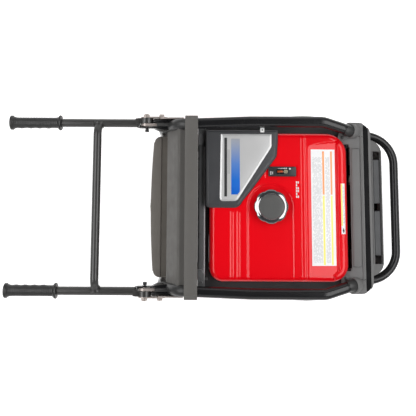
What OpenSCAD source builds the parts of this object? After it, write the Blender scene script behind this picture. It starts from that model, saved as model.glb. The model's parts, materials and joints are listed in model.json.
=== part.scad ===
// Frame-type inverter generator with fold-out handles, in millimetres.
// +X runs to the rear rail, -X to the handle grips, +Y to the left side, +Z up from the floor.

/* [Frame] */
// Outer diameter of the bent side tubes
frame_tube_d = 31.8; // [28:0.1:34]
// Outer diameter of the straight base rails
base_rail_d = 34; // [34:0.5:38]
// Height of the base rail centres
base_rail_z = 90; // [86:1:94]
// Height of the top run of the side tubes
top_run_z = 700; // [696:1:702]
// Half-distance between the top runs at mid length
top_run_y = 250; // [248:1:252]
// Outer diameter of the rear rail, handle arms and crossbar
handle_tube_d = 25.4; // [24:0.1:26]
// Height of the rear rail
rear_rail_z = 588; // [580:1:596]
// Furthest reach of the rear rail's centre line
rear_rail_x = 586.3; // [586:0.1:587]

/* [Wheels] */
// Tyre outer diameter
tyre_d = 244; // [236:2:248]
// Tyre width
tyre_w = 68; // [60:2:70]
// Distance of the axle behind the origin
axle_x = 370; // [360:1:376]
// Axle diameter
axle_d = 20; // [18:0.5:22]
// Distance from the middle plane to the middle of a tyre
wheel_y = 308; // [306:1:310]

/* [Fuel tank] */
// Front edge of the tank
tank_front = 9; // [8:1:12]
// Rear edge of the tank
tank_rear = 418; // [414:1:419]
// Half-width of the tank
tank_half_w = 219; // [215:1:219]
// Height of the tank's underside
tank_z0 = 566; // [560:1:570]
// Height of the tank's flat top
tank_z1 = 682; // [680:1:683]
// Place of the filler along X
filler_x = 189; // [186:1:192]
// Diameter over the lobes of the fuel cap
cap_d = 98; // [94:1:100]

/* [Body shells] */
// Wall of the moulded covers
wall = 4; // [3:0.5:5]
// Top of the front beam
beam_top = 721; // [721:0.5:722]
// Front face of the control housing
housing_front = -176; // [-178:1:-168]
// Half-width of the control housing
housing_half_w = 221; // [210:0.5:221]
// Top of the control housing
housing_top = 560; // [556:1:562]
// Half-width of the rear shell
shell_half_w = 254; // [252:1:256]
// Rear face of the exhaust cover
cover_rear = 548; // [540:1:552]

/* [Handles] */
// Place of the fold pivots along X
pivot_x = -183.6; // [-185:0.2:-183]
// Height of the fold pivots and of the arms
pivot_z = 640; // [638:1:642]
// Distance of the arms from the middle plane
arm_y = 252; // [252:0.5:253]
// Free end of the grips
grip_end = -599; // [-605:1:-590]
// Length of a grip
grip_len = 155; // [140:1:160]
// Place of the crossbar along X
crossbar_x = -329; // [-335:1:-320]

/* [Hidden] */
$fn = 64;
tube_r = frame_tube_d / 2;
tube_bore = tube_r - 1.6;
rail_r = base_rail_d / 2;
arm_r = handle_tube_d / 2;
arm_bore = arm_r - 1.6;
axle_r = axle_d / 2;
axle_z = tyre_d / 2;
bead_r = 78;
running = 0.05;
skin = 0.3;
lap = 0.3;
elbow_inset = 0.05;

leg_foot = [-150, 238, base_rail_z];
rear_foot = [456, 221, base_rail_z];
side_route = [leg_foot, [-136, 243, 560], [-84, 242, top_run_z], [130, top_run_y, top_run_z],
    [345, top_run_y, top_run_z], [440, 224, 676], rear_foot];
side_bend = 50;
rear_leg_top = side_route[5];
rail_half = 223;
rear_route = [[452, rail_half, rear_rail_z], [rear_rail_x, rail_half, rear_rail_z],
    [rear_rail_x, -rail_half, rear_rail_z], [452, -rail_half, rear_rail_z]];

tank_edge = 18;
tank_sheet = 2;
tank_corners = [[tank_front, -1, 40, 1], [tank_front, 1, 40, 1], [tank_rear, 1, 60, -1], [tank_rear, -1, 50, -1]];
neck_r = 34;
neck_bore = 30;
cap_lobes = 8;

beam_x0 = -64;
beam_x1 = -26;
beam_half_w = 266.5;
hood_half_w = 227.5;
panel_x = -140;
panel_face = panel_x - 4;
shell_front = 428;
seal_x0 = 472;
seal_x1 = 487;
shell_rear = 494;
shell_top = 662;
shell_bottom = 140;
hood_bend = [391, 637];
panel_y = 227;
screw_at = [[409, 208], [412, -209]];
door_x0 = 62;
door_x1 = 330;
door_z0 = 254;
door_z1 = 500;
crank_z = 250;
lock_angle_r = 16;
block_y0 = 250.5;
arm_start = -208;

function unit(v) = v / norm(v);
function arc(centre, r, from, to, steps = 8) =
    [for (i = [0:steps]) centre + r * [cos(from + (to - from) * i / steps), sin(from + (to - from) * i / steps)]];

// ---- shared shapes ----

module ring(outer, inner) {
    difference() {
        circle(outer);
        if (inner > 0) circle(inner);
    }
}

module straight_run(from, to, outer, inner = 0) {
    way = to - from;
    translate(from)
        rotate([0, acos(way.z / norm(way)), atan2(way.y, way.x)])
            linear_extrude(norm(way)) ring(outer, inner);
}

// A quarter or less of a torus that turns from one direction to the next about a corner
module elbow(corner, along, onward, bend, turn, r) {
    centre = corner + unit(onward - along) * bend / cos(turn / 2);
    radial = unit(corner - along * bend * tan(turn / 2) - centre);
    axis = cross(radial, along);
    multmatrix([[radial.x, along.x, axis.x, centre.x], [radial.y, along.y, axis.y, centre.y],
        [radial.z, along.z, axis.z, centre.z], [0, 0, 0, 1]])
        rotate_extrude(angle = turn) translate([bend, 0]) circle(r);
}

// A solid bar along a route. Each elbow is a hair thinner than the runs that lap over its ends.
module bent_bar(route, r, bend, past = 0) {
    last = len(route) - 1;
    way = [for (i = [0:last - 1]) unit(route[i + 1] - route[i])];
    turn = [for (i = [0:last]) i == 0 || i == last ? 0 : acos(way[i - 1] * way[i])];
    setback = [for (i = [0:last]) i == 0 || i == last ? -past : bend * tan(turn[i] / 2) - lap];
    for (i = [0:last - 1])
        straight_run(route[i] + way[i] * setback[i], route[i + 1] - way[i] * setback[i + 1], r);
    for (i = [1:last - 1])
        elbow(route[i], way[i - 1], way[i], bend, turn[i], r - elbow_inset);
}

module bent_tube(route, outer, inner, bend) {
    difference() {
        bent_bar(route, outer, bend);
        bent_bar(route, inner, bend, 1);
    }
}

// A shape drawn in X and Z, made solid across Y about the middle plane
module across(width) {
    translate([0, width / 2, 0]) rotate([90, 0, 0]) linear_extrude(width) children();
}

// A shape drawn in Y and Z, made solid along X from a start to an end
module lengthwise(start, end) {
    translate([start, 0, 0]) rotate([90, 0, 90]) linear_extrude(end - start) children();
}

module rounded_rect(w, h, r) {
    square([w - 2 * r, h], center = true);
    square([w, h - 2 * r], center = true);
    for (sx = [-1, 1], sy = [-1, 1])
        translate([sx * (w / 2 - r), sy * (h / 2 - r)]) circle(r);
}

module span_box(low, high) {
    translate(low) cube(high - low);
}

module pin_y(x, y0, y1, z, r) {
    translate([x, y0, z]) rotate([-90, 0, 0]) cylinder(h = y1 - y0, r = r);
}

module pin_x(x0, x1, y, z, r) {
    translate([x0, y, z]) rotate([0, 90, 0]) cylinder(h = x1 - x0, r = r);
}

module mirrored(side) {
    mirror([0, side < 0 ? 1 : 0, 0]) children();
}

module both_sides() {
    for (side = [-1, 1]) mirrored(side) children();
}

// ---- frame ----

module base_rail(outer, inner) {
    way = unit(rear_foot - leg_foot);
    straight_run(leg_foot - way * 20, rear_foot + way * 20, outer, inner);
}

module rail_plugs() {
    way = unit(rear_foot - leg_foot);
    straight_run(leg_foot - way * 20, leg_foot - way * 16, rail_r);
    straight_run(rear_foot + way * 16, rear_foot + way * 20, rail_r);
}

// Plate that carries the fold pivot, seen in plan
module hinge_gusset() {
    translate([0, 0, pivot_z - 8]) linear_extrude(20)
        polygon([[-202, 239.2], [-212, 238.2], [-204, 236.5], [-150, 235.5], [-129, 231], [-100, 231], [-100, 239.6]]);
}

module side_tube() {
    difference() {
        union() {
            bent_bar(side_route, tube_r, side_bend);
            hinge_gusset();
        }
        bent_bar(side_route, tube_bore, side_bend, 1);
        base_rail(rail_r, 0);
    }
}

module side_tube_left() { color("#1c1c1e") side_tube(); }
module side_tube_right() { color("#1c1c1e") mirrored(-1) side_tube(); }

module base_frame() {
    color("#1c1c1e") {
        both_sides() {
            base_rail(rail_r, rail_r - 2);
            rail_plugs();
            difference() {
                span_box([axle_x - 25, 196, base_rail_z - 8], [axle_x + 25, 203, axle_z + 22]);
                pin_y(axle_x, 190, 210, axle_z, axle_r);
            }
        }
        difference() {
            union() {
                for (x = [-120, 436]) span_box([x - 22, -238, 66], [x + 22, 238, 75]);
                for (x = [60, 236]) span_box([x - 15, -232, 78], [x + 15, 232, 104]);
                span_box([axle_x - 18, -226, 78], [axle_x + 18, 226, 100]);
            }
            both_sides() base_rail(rail_r, 0);
            for (x = [-120, 436], y = [-150, 150])
                translate([x, y, 60]) cylinder(h = 20, r = 5.5);
        }
    }
}

module front_feet() {
    color("#151515") both_sides() translate([-120, 222, 0]) {
        cylinder(h = 52, r1 = 24, r2 = 21);
        translate([0, 0, 52]) cylinder(h = 14, r = 21);
    }
}

module rear_rail() {
    color("#1c1c1e") difference() {
        bent_tube(rear_route, arm_r, arm_bore, 90);
        both_sides() straight_run(rear_leg_top, rear_foot, tube_r);
    }
}

// ---- wheels ----

module axle() {
    color("silver") {
        pin_y(axle_x, -wheel_y - 36, wheel_y + 36, axle_z, axle_r);
        both_sides() difference() {
            pin_y(axle_x, wheel_y - 41, wheel_y - 34.5, axle_z, 17);
            pin_y(axle_x, wheel_y - 42, wheel_y - 34, axle_z, axle_r);
        }
    }
}

module tyre() {
    color("#18181a") translate([axle_x, wheel_y, axle_z]) rotate([90, 0, 0])
        rotate_extrude() {
            difference() {
                translate([tyre_d / 2 - 19, 0]) rounded_rect(38, tyre_w, 18);
                translate([0, -tyre_w]) square([bead_r, 2 * tyre_w]);
            }
            translate([bead_r, -24]) square([16, 48]);
        }
}

module rim() {
    color("#8a8c8e") translate([axle_x, wheel_y, axle_z]) rotate([90, 0, 0]) difference() {
        rotate_extrude() {
            translate([axle_r + running, -33]) square([15, 66]);
            translate([24, -4]) square([44, 8]);
            translate([67, -24]) square([bead_r - 67, 48]);
        }
        for (i = [0:5])
            rotate([0, 0, i * 60]) translate([46, 0, -10]) cylinder(h = 20, r = 12);
    }
}

module tyre_left() { tyre(); }
module rim_left() { rim(); }
module tyre_right() { mirrored(-1) tyre(); }
module rim_right() { mirrored(-1) rim(); }

// ---- front beam, hood and control housing ----

module tube_space() {
    both_sides() bent_bar(side_route, tube_r + skin, side_bend);
}

module top_beam() {
    color("#696661") difference() {
        lengthwise(beam_x0, beam_x1) polygon([
            [-beam_half_w, 686], [-beam_half_w, beam_top - 13], [-beam_half_w + 13, beam_top],
            [beam_half_w - 13, beam_top], [beam_half_w, beam_top - 13], [beam_half_w, 686],
            [214, 686], [214, 680], [-214, 680], [-214, 686]]);
        span_box([beam_x0 + wall, -210, 670], [beam_x1 - wall, 210, beam_top - wall]);
        tube_space();
    }
}

module hood_outline(inset) {
    polygon(concat([[beam_x0 - 0.2, 700 - inset]],
        arc([-78, 690], 10 - inset, 90, 142),
        arc([-110, 624], 10 - inset, 158, 180),
        [[-120 + inset, housing_top + 6 + inset], [beam_x0 - 0.2, housing_top + 6 + inset]]));
}

module front_hood() {
    color("#6a6761") difference() {
        across(2 * hood_half_w) hood_outline(0);
        across(2 * hood_half_w - 8) hood_outline(wall);
        span_box([beam_x0 - 6, -hood_half_w + 4, housing_top + 10], [beam_x0 + 6, hood_half_w - 4, 696]);
        span_box([-112, -hood_half_w + 20, housing_top], [beam_x0 - 8, hood_half_w - 20, housing_top + 20]);
        tube_space();
    }
}

module housing_plan(inset) {
    w = housing_half_w - inset;
    front = housing_front + inset;
    polygon(concat([[beam_x0, -w], [beam_x0, w]],
        arc([-144, w - 22], 22, 90, 150),
        [[front, 0]],
        arc([-144, -w + 22], 22, 210, 270)));
}

module front_housing() {
    color("#5f5b55") difference() {
        translate([0, 0, 118]) linear_extrude(housing_top - 118) housing_plan(0);
        translate([0, 0, 118 + wall]) linear_extrude(housing_top - 118 - 2 * wall) difference() {
            housing_plan(wall);
            translate([-200, -194]) square([200 + panel_face, 388]);
        }
        span_box([-190, -190, 232], [panel_face, 190, 506]);
        span_box([panel_face - 1, -190, 122], [beam_x0 + 1, 190, housing_top - wall]);
        span_box([beam_x0 - 8, -200, 126], [beam_x0 + 8, 200, housing_top - 8]);
    }
}

display_at = [105, 458];
duplex_at = [[-35, 395], [-125, 395]];
locking_at = [[-35, 285], [-125, 285]];
switch_at = [135, 360];
eco_at = [62, 360];
breaker_at = [[-35, 470], [-125, 470]];
ground_at = [135, 270];
jack_at = [[45, 270], [75, 270]];

module on_panel(at, x0, x1) {
    translate([0, at[0], at[1]]) lengthwise(x0, x1) children();
}

module control_panel() {
    color("#2a2b2d") difference() {
        lengthwise(panel_face, panel_x)
            translate([0, 369]) rounded_rect(379.6, 273.6, 6);
        on_panel(display_at, -160, -130) square([110.6, 46.6], center = true);
        for (at = duplex_at) on_panel(at, -160, -130) square([34.6, 66.6], center = true);
        for (at = locking_at) on_panel(at, -160, -130) circle(26.3);
        for (at = breaker_at) on_panel(at, -160, -130) circle(7.1);
        for (at = jack_at) on_panel(at, -160, -130) circle(5.5);
        on_panel(switch_at, -160, -130) circle(8.1);
        on_panel(eco_at, -160, -130) square([24.6, 36.6], center = true);
        on_panel(ground_at, -160, -130) circle(3.1);
    }
}

module display() {
    color("#101214") {
        on_panel(display_at, panel_face - 5, panel_face) rounded_rect(122, 58, 6);
        on_panel(display_at, panel_face, panel_x + 14) square([110, 46], center = true);
    }
}

module duplex_receptacles() {
    color("#e9e6df") for (at = duplex_at) {
        difference() {
            on_panel(at, panel_face - 6, panel_face) rounded_rect(40, 74, 5);
            for (dz = [-18, 18]) {
                on_panel(at + [-6, dz], panel_face - 7, panel_face - 2) square([2.2, 8], center = true);
                on_panel(at + [6, dz], panel_face - 7, panel_face - 2) square([2.2, 8], center = true);
                on_panel(at + [0, dz - 8], panel_face - 7, panel_face - 2) circle(2.5);
            }
        }
        on_panel(at, panel_face, panel_x + 24) square([34, 66], center = true);
    }
}

module locking_receptacles() {
    color("#17181a") for (at = locking_at) {
        difference() {
            on_panel(at, panel_face - 8, panel_face) circle(31);
            for (i = [0:3])
                translate([0, at[0], at[1]]) rotate([i * 90 + 20, 0, 0])
                    span_box([panel_face - 9, -4.5, 13], [panel_face - 4, 4.5, 15.5]);
        }
        on_panel(at, panel_face, panel_x + 30) circle(26);
    }
}

module ground_terminal() {
    color("#b9bbbd") {
        on_panel(ground_at, panel_face - 18, panel_x + 8) circle(3);
        difference() {
            union() {
                on_panel(ground_at, panel_face - 3, panel_face) circle(9);
                on_panel(ground_at, panel_face - 8, panel_face - 3) square([26, 6], center = true);
            }
            on_panel(ground_at, panel_face - 9, panel_face + 1) circle(3);
        }
    }
}

module engine_switch() {
    color("#1d1e20") {
        difference() {
            on_panel(switch_at, panel_face - 14, panel_face - 0.5) circle(22);
            for (i = [0:9])
                translate([0, switch_at[0], switch_at[1]]) rotate([i * 36, 0, 0])
                    pin_x(panel_face - 15, panel_face - 3, 0, 24.5, 4);
        }
        on_panel(switch_at, panel_face - 19, panel_face - 14) square([7, 40], center = true);
        on_panel(switch_at, panel_face - 0.5, panel_x + 12) circle(8.05);
    }
}

module eco_switch() {
    color("#c2b02a") translate([panel_face, eco_at[0], eco_at[1]]) difference() {
        rotate([90, 0, 0]) translate([0, 0, -11]) linear_extrude(22)
            polygon([[-5, -15], [-8, 0], [-5, 15], [8, 12], [8, -12]]);
        pin_y(0, -12, 12, 0, 2);
    }
}

module breaker_button(at) {
    color("#202225") {
        on_panel(at, panel_face - 8, panel_face - 4.2) circle(9);
        on_panel(at, panel_face - 4.2, panel_x + 10) circle(7.04);
    }
}

module breaker_button_left() { breaker_button(breaker_at[0]); }
module breaker_button_right() { breaker_button(breaker_at[1]); }

// ---- fuel tank and what sits on it ----

module tank_form(inset) {
    hull() for (c = tank_corners)
        translate([c[0] + c[3] * c[2], c[1] * (tank_half_w - c[2]), 0]) {
            translate([0, 0, tank_z0 + inset])
                cylinder(h = tank_z1 - tank_z0 - tank_edge - inset, r = c[2] - inset, $fn = 40);
            translate([0, 0, tank_z1 - tank_edge])
                rotate_extrude($fn = 40) translate([c[2] - tank_edge, 0]) circle(tank_edge - inset, $fn = 24);
        }
}

module tank_plan(grow) {
    for (c = tank_corners)
        translate([c[0] + c[3] * c[2], c[1] * (tank_half_w - c[2])]) circle(c[2] + grow);
    polygon([
        [tank_front - grow, -tank_half_w + 40], [tank_front + 40, -tank_half_w - grow],
        [tank_rear - 50, -tank_half_w - grow], [tank_rear + grow, -tank_half_w + 50],
        [tank_rear + grow, tank_half_w - 60], [tank_rear - 60, tank_half_w + grow],
        [tank_front + 40, tank_half_w + grow], [tank_front - grow, tank_half_w - 40]]);
}

module fuel_tank() {
    color("#d4101a") difference() {
        tank_form(0);
        tank_form(tank_sheet);
        translate([filler_x, 0, tank_z1 - 10]) cylinder(h = 20, r = neck_r + 0.2);
    }
}

module tank_shroud() {
    color("#202124") {
        translate([0, 0, 572]) linear_extrude(76) difference() {
            polygon(concat([[-3, -236], [-3, 236]], arc([400, 212], 24, 90, 0, 4), arc([400, -212], 24, 0, -90, 4)));
            tank_plan(1);
        }
        both_sides() span_box([-3, 235, 638], [396, 247, 648]);
    }
}

module front_strip() {
    color("#1a1b1d") across(474) polygon(concat([[-3.5, 600], [-25.8, 600]],
        arc([-18.8, 660], 7, 180, 90, 4), arc([-9.5, 661], 6, 90, 0, 4)));
}

module filler_neck() {
    color("#b8babd") translate([filler_x, 0, 0]) {
        translate([0, 0, tank_z1 - 40]) linear_extrude(52) ring(neck_r, neck_bore);
        translate([0, 0, tank_z1]) linear_extrude(3) ring(neck_r + 6, neck_r);
        translate([0, 0, tank_z1 - 42]) linear_extrude(2) ring(neck_r, 4);
    }
}

module cap_core() {
    color("#2a2a2c") translate([filler_x, 0, 0]) {
        translate([0, 0, 676]) cylinder(h = 18.2, r = neck_bore - 0.4);
        translate([0, 0, 694.2]) cylinder(h = 2.6, r = 36);
        translate([0, 0, 696.8]) cylinder(h = 4, r = 5);
    }
}

module fuel_cap() {
    color("#2c2d30") translate([filler_x, 0, 0]) difference() {
        union() {
            translate([0, 0, 688]) cylinder(h = 22, r = cap_d / 2 - 6);
            for (i = [0:cap_lobes - 1])
                rotate([0, 0, i * 360 / cap_lobes]) translate([cap_d / 2 - 12, 0, 688]) cylinder(h = 22, r = 12);
            translate([0, 0, 710]) cylinder(h = 4, r = 37);
        }
        translate([0, 0, 680]) cylinder(h = 20, r = 37.5);
        translate([0, 0, 699]) cylinder(h = 4, r = 5.05);
    }
}

gauge_x = 224;
gauge_y = 103.6;

module fuel_gauge() {
    color("#1a1b1d") translate([gauge_x, gauge_y, tank_z1]) difference() {
        linear_extrude(5) rounded_rect(82, 29, 3);
        translate([0, 0, 1.6]) linear_extrude(5) rounded_rect(77, 24, 2);
    }
}

module gauge_needle() {
    color("#f06a20") translate([gauge_x - 12, gauge_y, tank_z1 + 1.7]) {
        cylinder(h = 1.2, r = 2.6);
        span_box([0, -0.9, 0], [34, 0.9, 1]);
    }
}

module gauge_lens() {
    color([0.8, 0.85, 0.9, 0.3]) translate([gauge_x, gauge_y, tank_z1 + 3.4])
        linear_extrude(1.4) rounded_rect(76.8, 23.8, 2);
}

trim_outline = concat([[-3.2, 226]], [[212, 226], [212, 192]],
    arc([176, 160], 33, 0, -32, 4), [[134, 50]],
    arc([80, 22], 26, -20, -90, 5), [[16, -4]], arc([8, 8], 11.2, -90, -180, 4));
plate_outline = concat([[42, 214], [192, 214]], arc([174, 182], 18, 0, -32, 4),
    arc([80, 32], 16, -32, -90, 4), arc([48, 25], 9, -90, -180, 4));

module tank_trim() {
    color("#33343a") {
        translate([0, 0, tank_z1]) linear_extrude(8) difference() {
            polygon(trim_outline);
            translate([gauge_x, gauge_y]) rounded_rect(84, 31, 3);
        }
        span_box([-3.2, 8, 660], [3.5, 226, tank_z1]);
        span_box([40, tank_half_w + 2, 655], [212, 226, tank_z1]);
    }
}

module trim_plate() {
    color("#b9bcc1") translate([0, 0, tank_z1 + 8]) linear_extrude(1.5) polygon(plate_outline);
}

module cover_screws() {
    color("#8d8f92") for (at = screw_at) translate([at[0], at[1], shell_top]) {
        cylinder(h = 4, r = 6);
        translate([0, 0, -8]) cylinder(h = 8, r = 3);
    }
}

// ---- rear shell and exhaust cover ----

module rear_plan(inset) {
    w = shell_half_w - inset;
    polygon(concat([[shell_front, -w]],
        arc([shell_rear - 36, -w + 36 - inset], 36 - inset, -90, 0),
        arc([shell_rear - 36, w - 36 + inset], 36 - inset, 0, 90),
        [[shell_front, w]]));
}

module rear_form(inset, x0, x1) {
    intersection() {
        translate([0, 0, shell_bottom + inset])
            linear_extrude(shell_top - shell_bottom - 2 * inset) rear_plan(inset);
        span_box([x0, -300, 0], [x1, 300, 800]);
    }
}

// Raised cover over each rear tube bend
module corner_hood(inset) {
    both_sides() intersection() {
        translate([0, shell_half_w - inset, 0]) rotate([90, 0, 0]) linear_extrude(48 - 2 * inset)
            translate(hood_bend) circle(74 - inset);
        span_box([shell_front, 0, shell_top - 30], [shell_rear, 300, 720]);
        translate([0, 0, 600]) linear_extrude(200) rear_plan(inset);
    }
}

module rear_shell() {
    color("#727476") difference() {
        union() {
            rear_form(0, shell_front, seal_x0);
            corner_hood(0);
            both_sides() span_box([400, 188, 652], [shell_front + 1, 222, shell_top]);
        }
        rear_form(wall, shell_front - 1, seal_x0 + 1);
        translate([0, 0, shell_bottom - 1]) linear_extrude(wall + 2) rear_plan(wall);
        corner_hood(wall);
        tube_space();
        translate([0, 0, 640]) linear_extrude(40) tank_plan(1);
        span_box([shell_front - 1, -180, 640], [shell_front + 3, 180, 700]);
        for (at = screw_at) translate([at[0], at[1], 640]) cylinder(h = 30, r = 3.1);
    }
}

module rear_seal() {
    color("#141516") difference() {
        rear_form(1.5, seal_x0, seal_x1);
        rear_form(6, seal_x0 - 1, seal_x1 + 1);
        both_sides() pin_x(seal_x0 - 1, seal_x1 + 1, rail_half, rear_rail_z, arm_r + skin);
    }
}

exhaust_at = [96, 330];

module bulge(inset) {
    w = 209 - inset;
    intersection() {
        translate([0, 0, 150 + inset]) linear_extrude(470 - 2 * inset)
            polygon(concat([[shell_rear - 5, -w]], arc([cover_rear - 54, -w + 54 - inset], 54 - inset, -90, 0),
                arc([cover_rear - 54, w - 54 + inset], 54 - inset, 0, 90), [[shell_rear - 5, w]]));
        across(420) polygon(concat([[shell_rear - 5, 150 + inset], [shell_rear - 5, 618 - inset]],
            arc([cover_rear - 24, 586], 24 - inset, 80, 0, 5), [[cover_rear - inset, 150 + inset]]));
    }
}

module rear_cover() {
    color("#6f7173") difference() {
        union() {
            rear_form(0, seal_x1, shell_rear);
            bulge(0);
        }
        rear_form(wall, seal_x1 - 1, shell_rear - 4);
        bulge(wall);
        span_box([480, -195, 160], [shell_rear + 2, 195, 600]);
        span_box([514, -172, 560], [536, 172, 640]);
        for (i = [0:9])
            span_box([530, -150, 190 + i * 34], [560, i < 3 ? 150 : 20, 204 + i * 34]);
        pin_x(530, 560, exhaust_at[0], exhaust_at[1], 44);
        both_sides() pin_x(480, 500, rail_half, rear_rail_z, arm_r + skin);
    }
}

module louvre_plates() {
    color("#2d2f31") both_sides() {
        span_box([514.5, 10, 600], [535.5, 148, 604]);
        for (i = [0:6]) span_box([515, 26 + i * 17, 574], [535, 29 + i * 17, 600.5]);
    }
}

// ---- side panels, maintenance door ----

module panel_sheet(side) {
    difference() {
        translate([0, side > 0 ? panel_y - 3 : -panel_y, 0]) span_box([-62, 0, 112], [424, 3, 570]);
        pin_y(axle_x, -240, 240, axle_z, 16);
    }
}

module side_panel_left() {
    color("#c9121b") difference() {
        panel_sheet(1);
        span_box([door_x0 - 1.5, 200, door_z0 - 1.5], [door_x1 + 1.5, 240, door_z1 + 1.5]);
    }
}

module side_panel_right() {
    color("#c9121b") difference() {
        panel_sheet(-1);
        for (i = [0:9]) span_box([90, -240, 190 + i * 30], [330, -210, 204 + i * 30]);
    }
}

hinge_x = door_x0 + 1;
hinge_y = panel_y + 6.5;
hinge_levels = [300, 450];

module maintenance_door() {
    color("#c9121b") difference() {
        union() {
            span_box([door_x0, panel_y - 3, door_z0], [door_x1, panel_y, door_z1]);
            for (z = hinge_levels) {
                translate([hinge_x, hinge_y, z - 15]) cylinder(h = 30, r = 5);
                span_box([hinge_x, panel_y, z - 15], [hinge_x + 12, panel_y + 4, z + 15]);
            }
        }
        for (z = hinge_levels) translate([hinge_x, hinge_y, z - 20]) cylinder(h = 40, r = 2.55);
        pin_y(door_x1 - 24, 200, 240, 335, 6.05);
        span_box([door_x0 - 5, panel_y - 4, door_z0 - 1], [door_x0 + 3, panel_y - 1.5, door_z1 + 1]);
    }
}

module door_pins() {
    color("#b0b2b5") for (z = hinge_levels) {
        translate([hinge_x, hinge_y, z - 21]) cylinder(h = 42, r = 2.5);
        for (dz = [-21, 17]) difference() {
            union() {
                span_box([hinge_x - 14, panel_y, z + dz], [hinge_x, hinge_y + 4, z + dz + 4]);
                translate([hinge_x, hinge_y, z + dz]) cylinder(h = 4, r = 5);
            }
            translate([hinge_x, hinge_y, z + dz - 1]) cylinder(h = 6, r = 2.5);
        }
    }
}

module door_latch() {
    color("#202124") {
        pin_y(door_x1 - 24, panel_y - 3.5, panel_y + 1, 335, 6);
        translate([door_x1 - 24, 0, 335]) {
            pin_y(0, panel_y + 0.2, panel_y + 4, 0, 17);
            span_box([-4, panel_y + 4, -16], [4, panel_y + 12, 16]);
            span_box([-5, panel_y - 6.5, -6], [5, panel_y - 3.5, 36]);
        }
    }
}

// ---- handles ----

module hinge_bracket() {
    color("#cfc9c4") difference() {
        union() {
            pin_y(pivot_x, 267, 270.5, pivot_z, 18);
            translate([-137.5, 267, pivot_z]) rotate([-90, 0, 0]) cylinder(h = 3.5, r = 18);
            span_box([pivot_x, 267, pivot_z - 18], [-137.5, 270.5, pivot_z + 18]);
            span_box([-140, 263, pivot_z - 12], [-68, 267, pivot_z + 26]);
            pin_y(-137.5, 258, 279, pivot_z, 8);
            pin_y(pivot_x, 240, 281, pivot_z, 5);
            pin_y(pivot_x, 270.5, 279, pivot_z, 9);
            pin_y(pivot_x, 242, 249.5, pivot_z, 17.5);
            span_box([pivot_x, 242, pivot_z - 14], [-118, 249.5, pivot_z + 17.5]);
        }
        tube_space();
        pin_y(pivot_x, 240, 249.6, pivot_z - lock_angle_r, 3.1);
    }
}

module hinge_bracket_left() { hinge_bracket(); }
module hinge_bracket_right() { mirrored(-1) hinge_bracket(); }

module lock_pin() {
    color("#1b1c1e") {
        pin_y(pivot_x, 236, 250.2, pivot_z - lock_angle_r, 3);
        pin_y(pivot_x, 227, 236, pivot_z - lock_angle_r, 6);
    }
}

module lock_pin_left() { lock_pin(); }
module lock_pin_right() { mirrored(-1) lock_pin(); }

// Arm with its pivot block: the block's two lock holes are a quarter turn apart
module handle_arm() {
    color("#1c1c1e") difference() {
        union() {
            translate([grip_end + 4, arm_y, pivot_z]) rotate([0, 90, 0])
                linear_extrude(arm_start - grip_end - 4) ring(arm_r, arm_bore);
            span_box([arm_start - 2, block_y0, pivot_z - 12], [pivot_x, 266.5, pivot_z + 12]);
            pin_y(pivot_x, block_y0, 266.5, pivot_z, 20.5);
        }
        pin_y(pivot_x, 245, 270, pivot_z, 5 + running);
        for (turn = [0, 90])
            translate([pivot_x, 0, pivot_z]) rotate([0, turn, 0]) pin_y(0, 250, 258, -lock_angle_r, 3.1);
    }
}

module handle_arm_left() { handle_arm(); }
module handle_arm_right() { mirrored(-1) handle_arm(); }

module handle_crossbar() {
    route = [[crossbar_x, arm_y, pivot_z], [crossbar_x, 222, pivot_z + 25],
        [crossbar_x, -222, pivot_z + 25], [crossbar_x, -arm_y, pivot_z]];
    color("#1c1c1e") difference() {
        bent_tube(route, arm_r - 0.3, arm_bore - 0.3, 30);
        both_sides() straight_run([-400, arm_y, pivot_z], [-260, arm_y, pivot_z], arm_r);
    }
}

module handle_grips() {
    color("#161617") both_sides() translate([grip_end, arm_y, pivot_z]) rotate([0, 90, 0]) {
        cylinder(h = 4, r = 22);
        translate([0, 0, 4]) linear_extrude(6) ring(22, arm_r);
        translate([0, 0, 10]) linear_extrude(grip_len - 18) ring(16.5, arm_r);
        translate([0, 0, grip_len - 8]) linear_extrude(8) ring(24, arm_r);
    }
}

// ---- inside ----

module engine_block() {
    color("#8f9294") {
        difference() {
            span_box([40, -120, 120], [225, 110, 350]);
            pin_x(30, 235, 0, crank_z, 22 + running);
            span_box([60, -100, 140], [205, 90, 215]);
        }
        for (x = [60, 211], y = [-90, 70]) translate([x, y, 104]) cylinder(h = 16, r = 20);
    }
}

module cylinder_head() {
    color("#9a9da0") {
        span_box([60, 110, 240], [205, 150, 370]);
        for (i = [0:5]) span_box([54, 113 + i * 6, 234], [211, 116 + i * 6, 376]);
        span_box([70, 150, 250], [195, 190, 360]);
    }
}

module crankshaft() {
    color("#b4b6b8") {
        pin_x(-6, 306, 0, crank_z, 14);
        pin_x(41, 224, 0, crank_z, 22);
    }
}

module flywheel_fan() {
    color("#5c5e61") {
        difference() {
            pin_x(2, 20, 0, crank_z, 105);
            pin_x(0, 22, 0, crank_z, 14);
        }
        for (i = [0:11])
            translate([0, 0, crank_z]) rotate([i * 30, 0, 0]) span_box([-8, -2, 60], [4, 2, 104]);
    }
}

module alternator_rotor() {
    color("#7b4a2a") difference() {
        union() {
            pin_x(234, 244, 0, crank_z, 118);
            translate([234, 0, crank_z]) rotate([0, 90, 0]) linear_extrude(64) ring(118, 106);
        }
        pin_x(230, 246, 0, crank_z, 14);
    }
}

module alternator_stator() {
    color("#a5612f") {
        translate([250, 0, crank_z]) rotate([0, 90, 0]) linear_extrude(44) difference() {
            ring(104, 40);
            for (i = [0:11]) rotate(i * 30) translate([78, 0]) square([40, 8], center = true);
        }
        translate([294, 0, crank_z]) rotate([0, 90, 0]) linear_extrude(6) ring(60, 16);
        span_box([300, -70, 104], [306, 70, 235]);
    }
}

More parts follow.
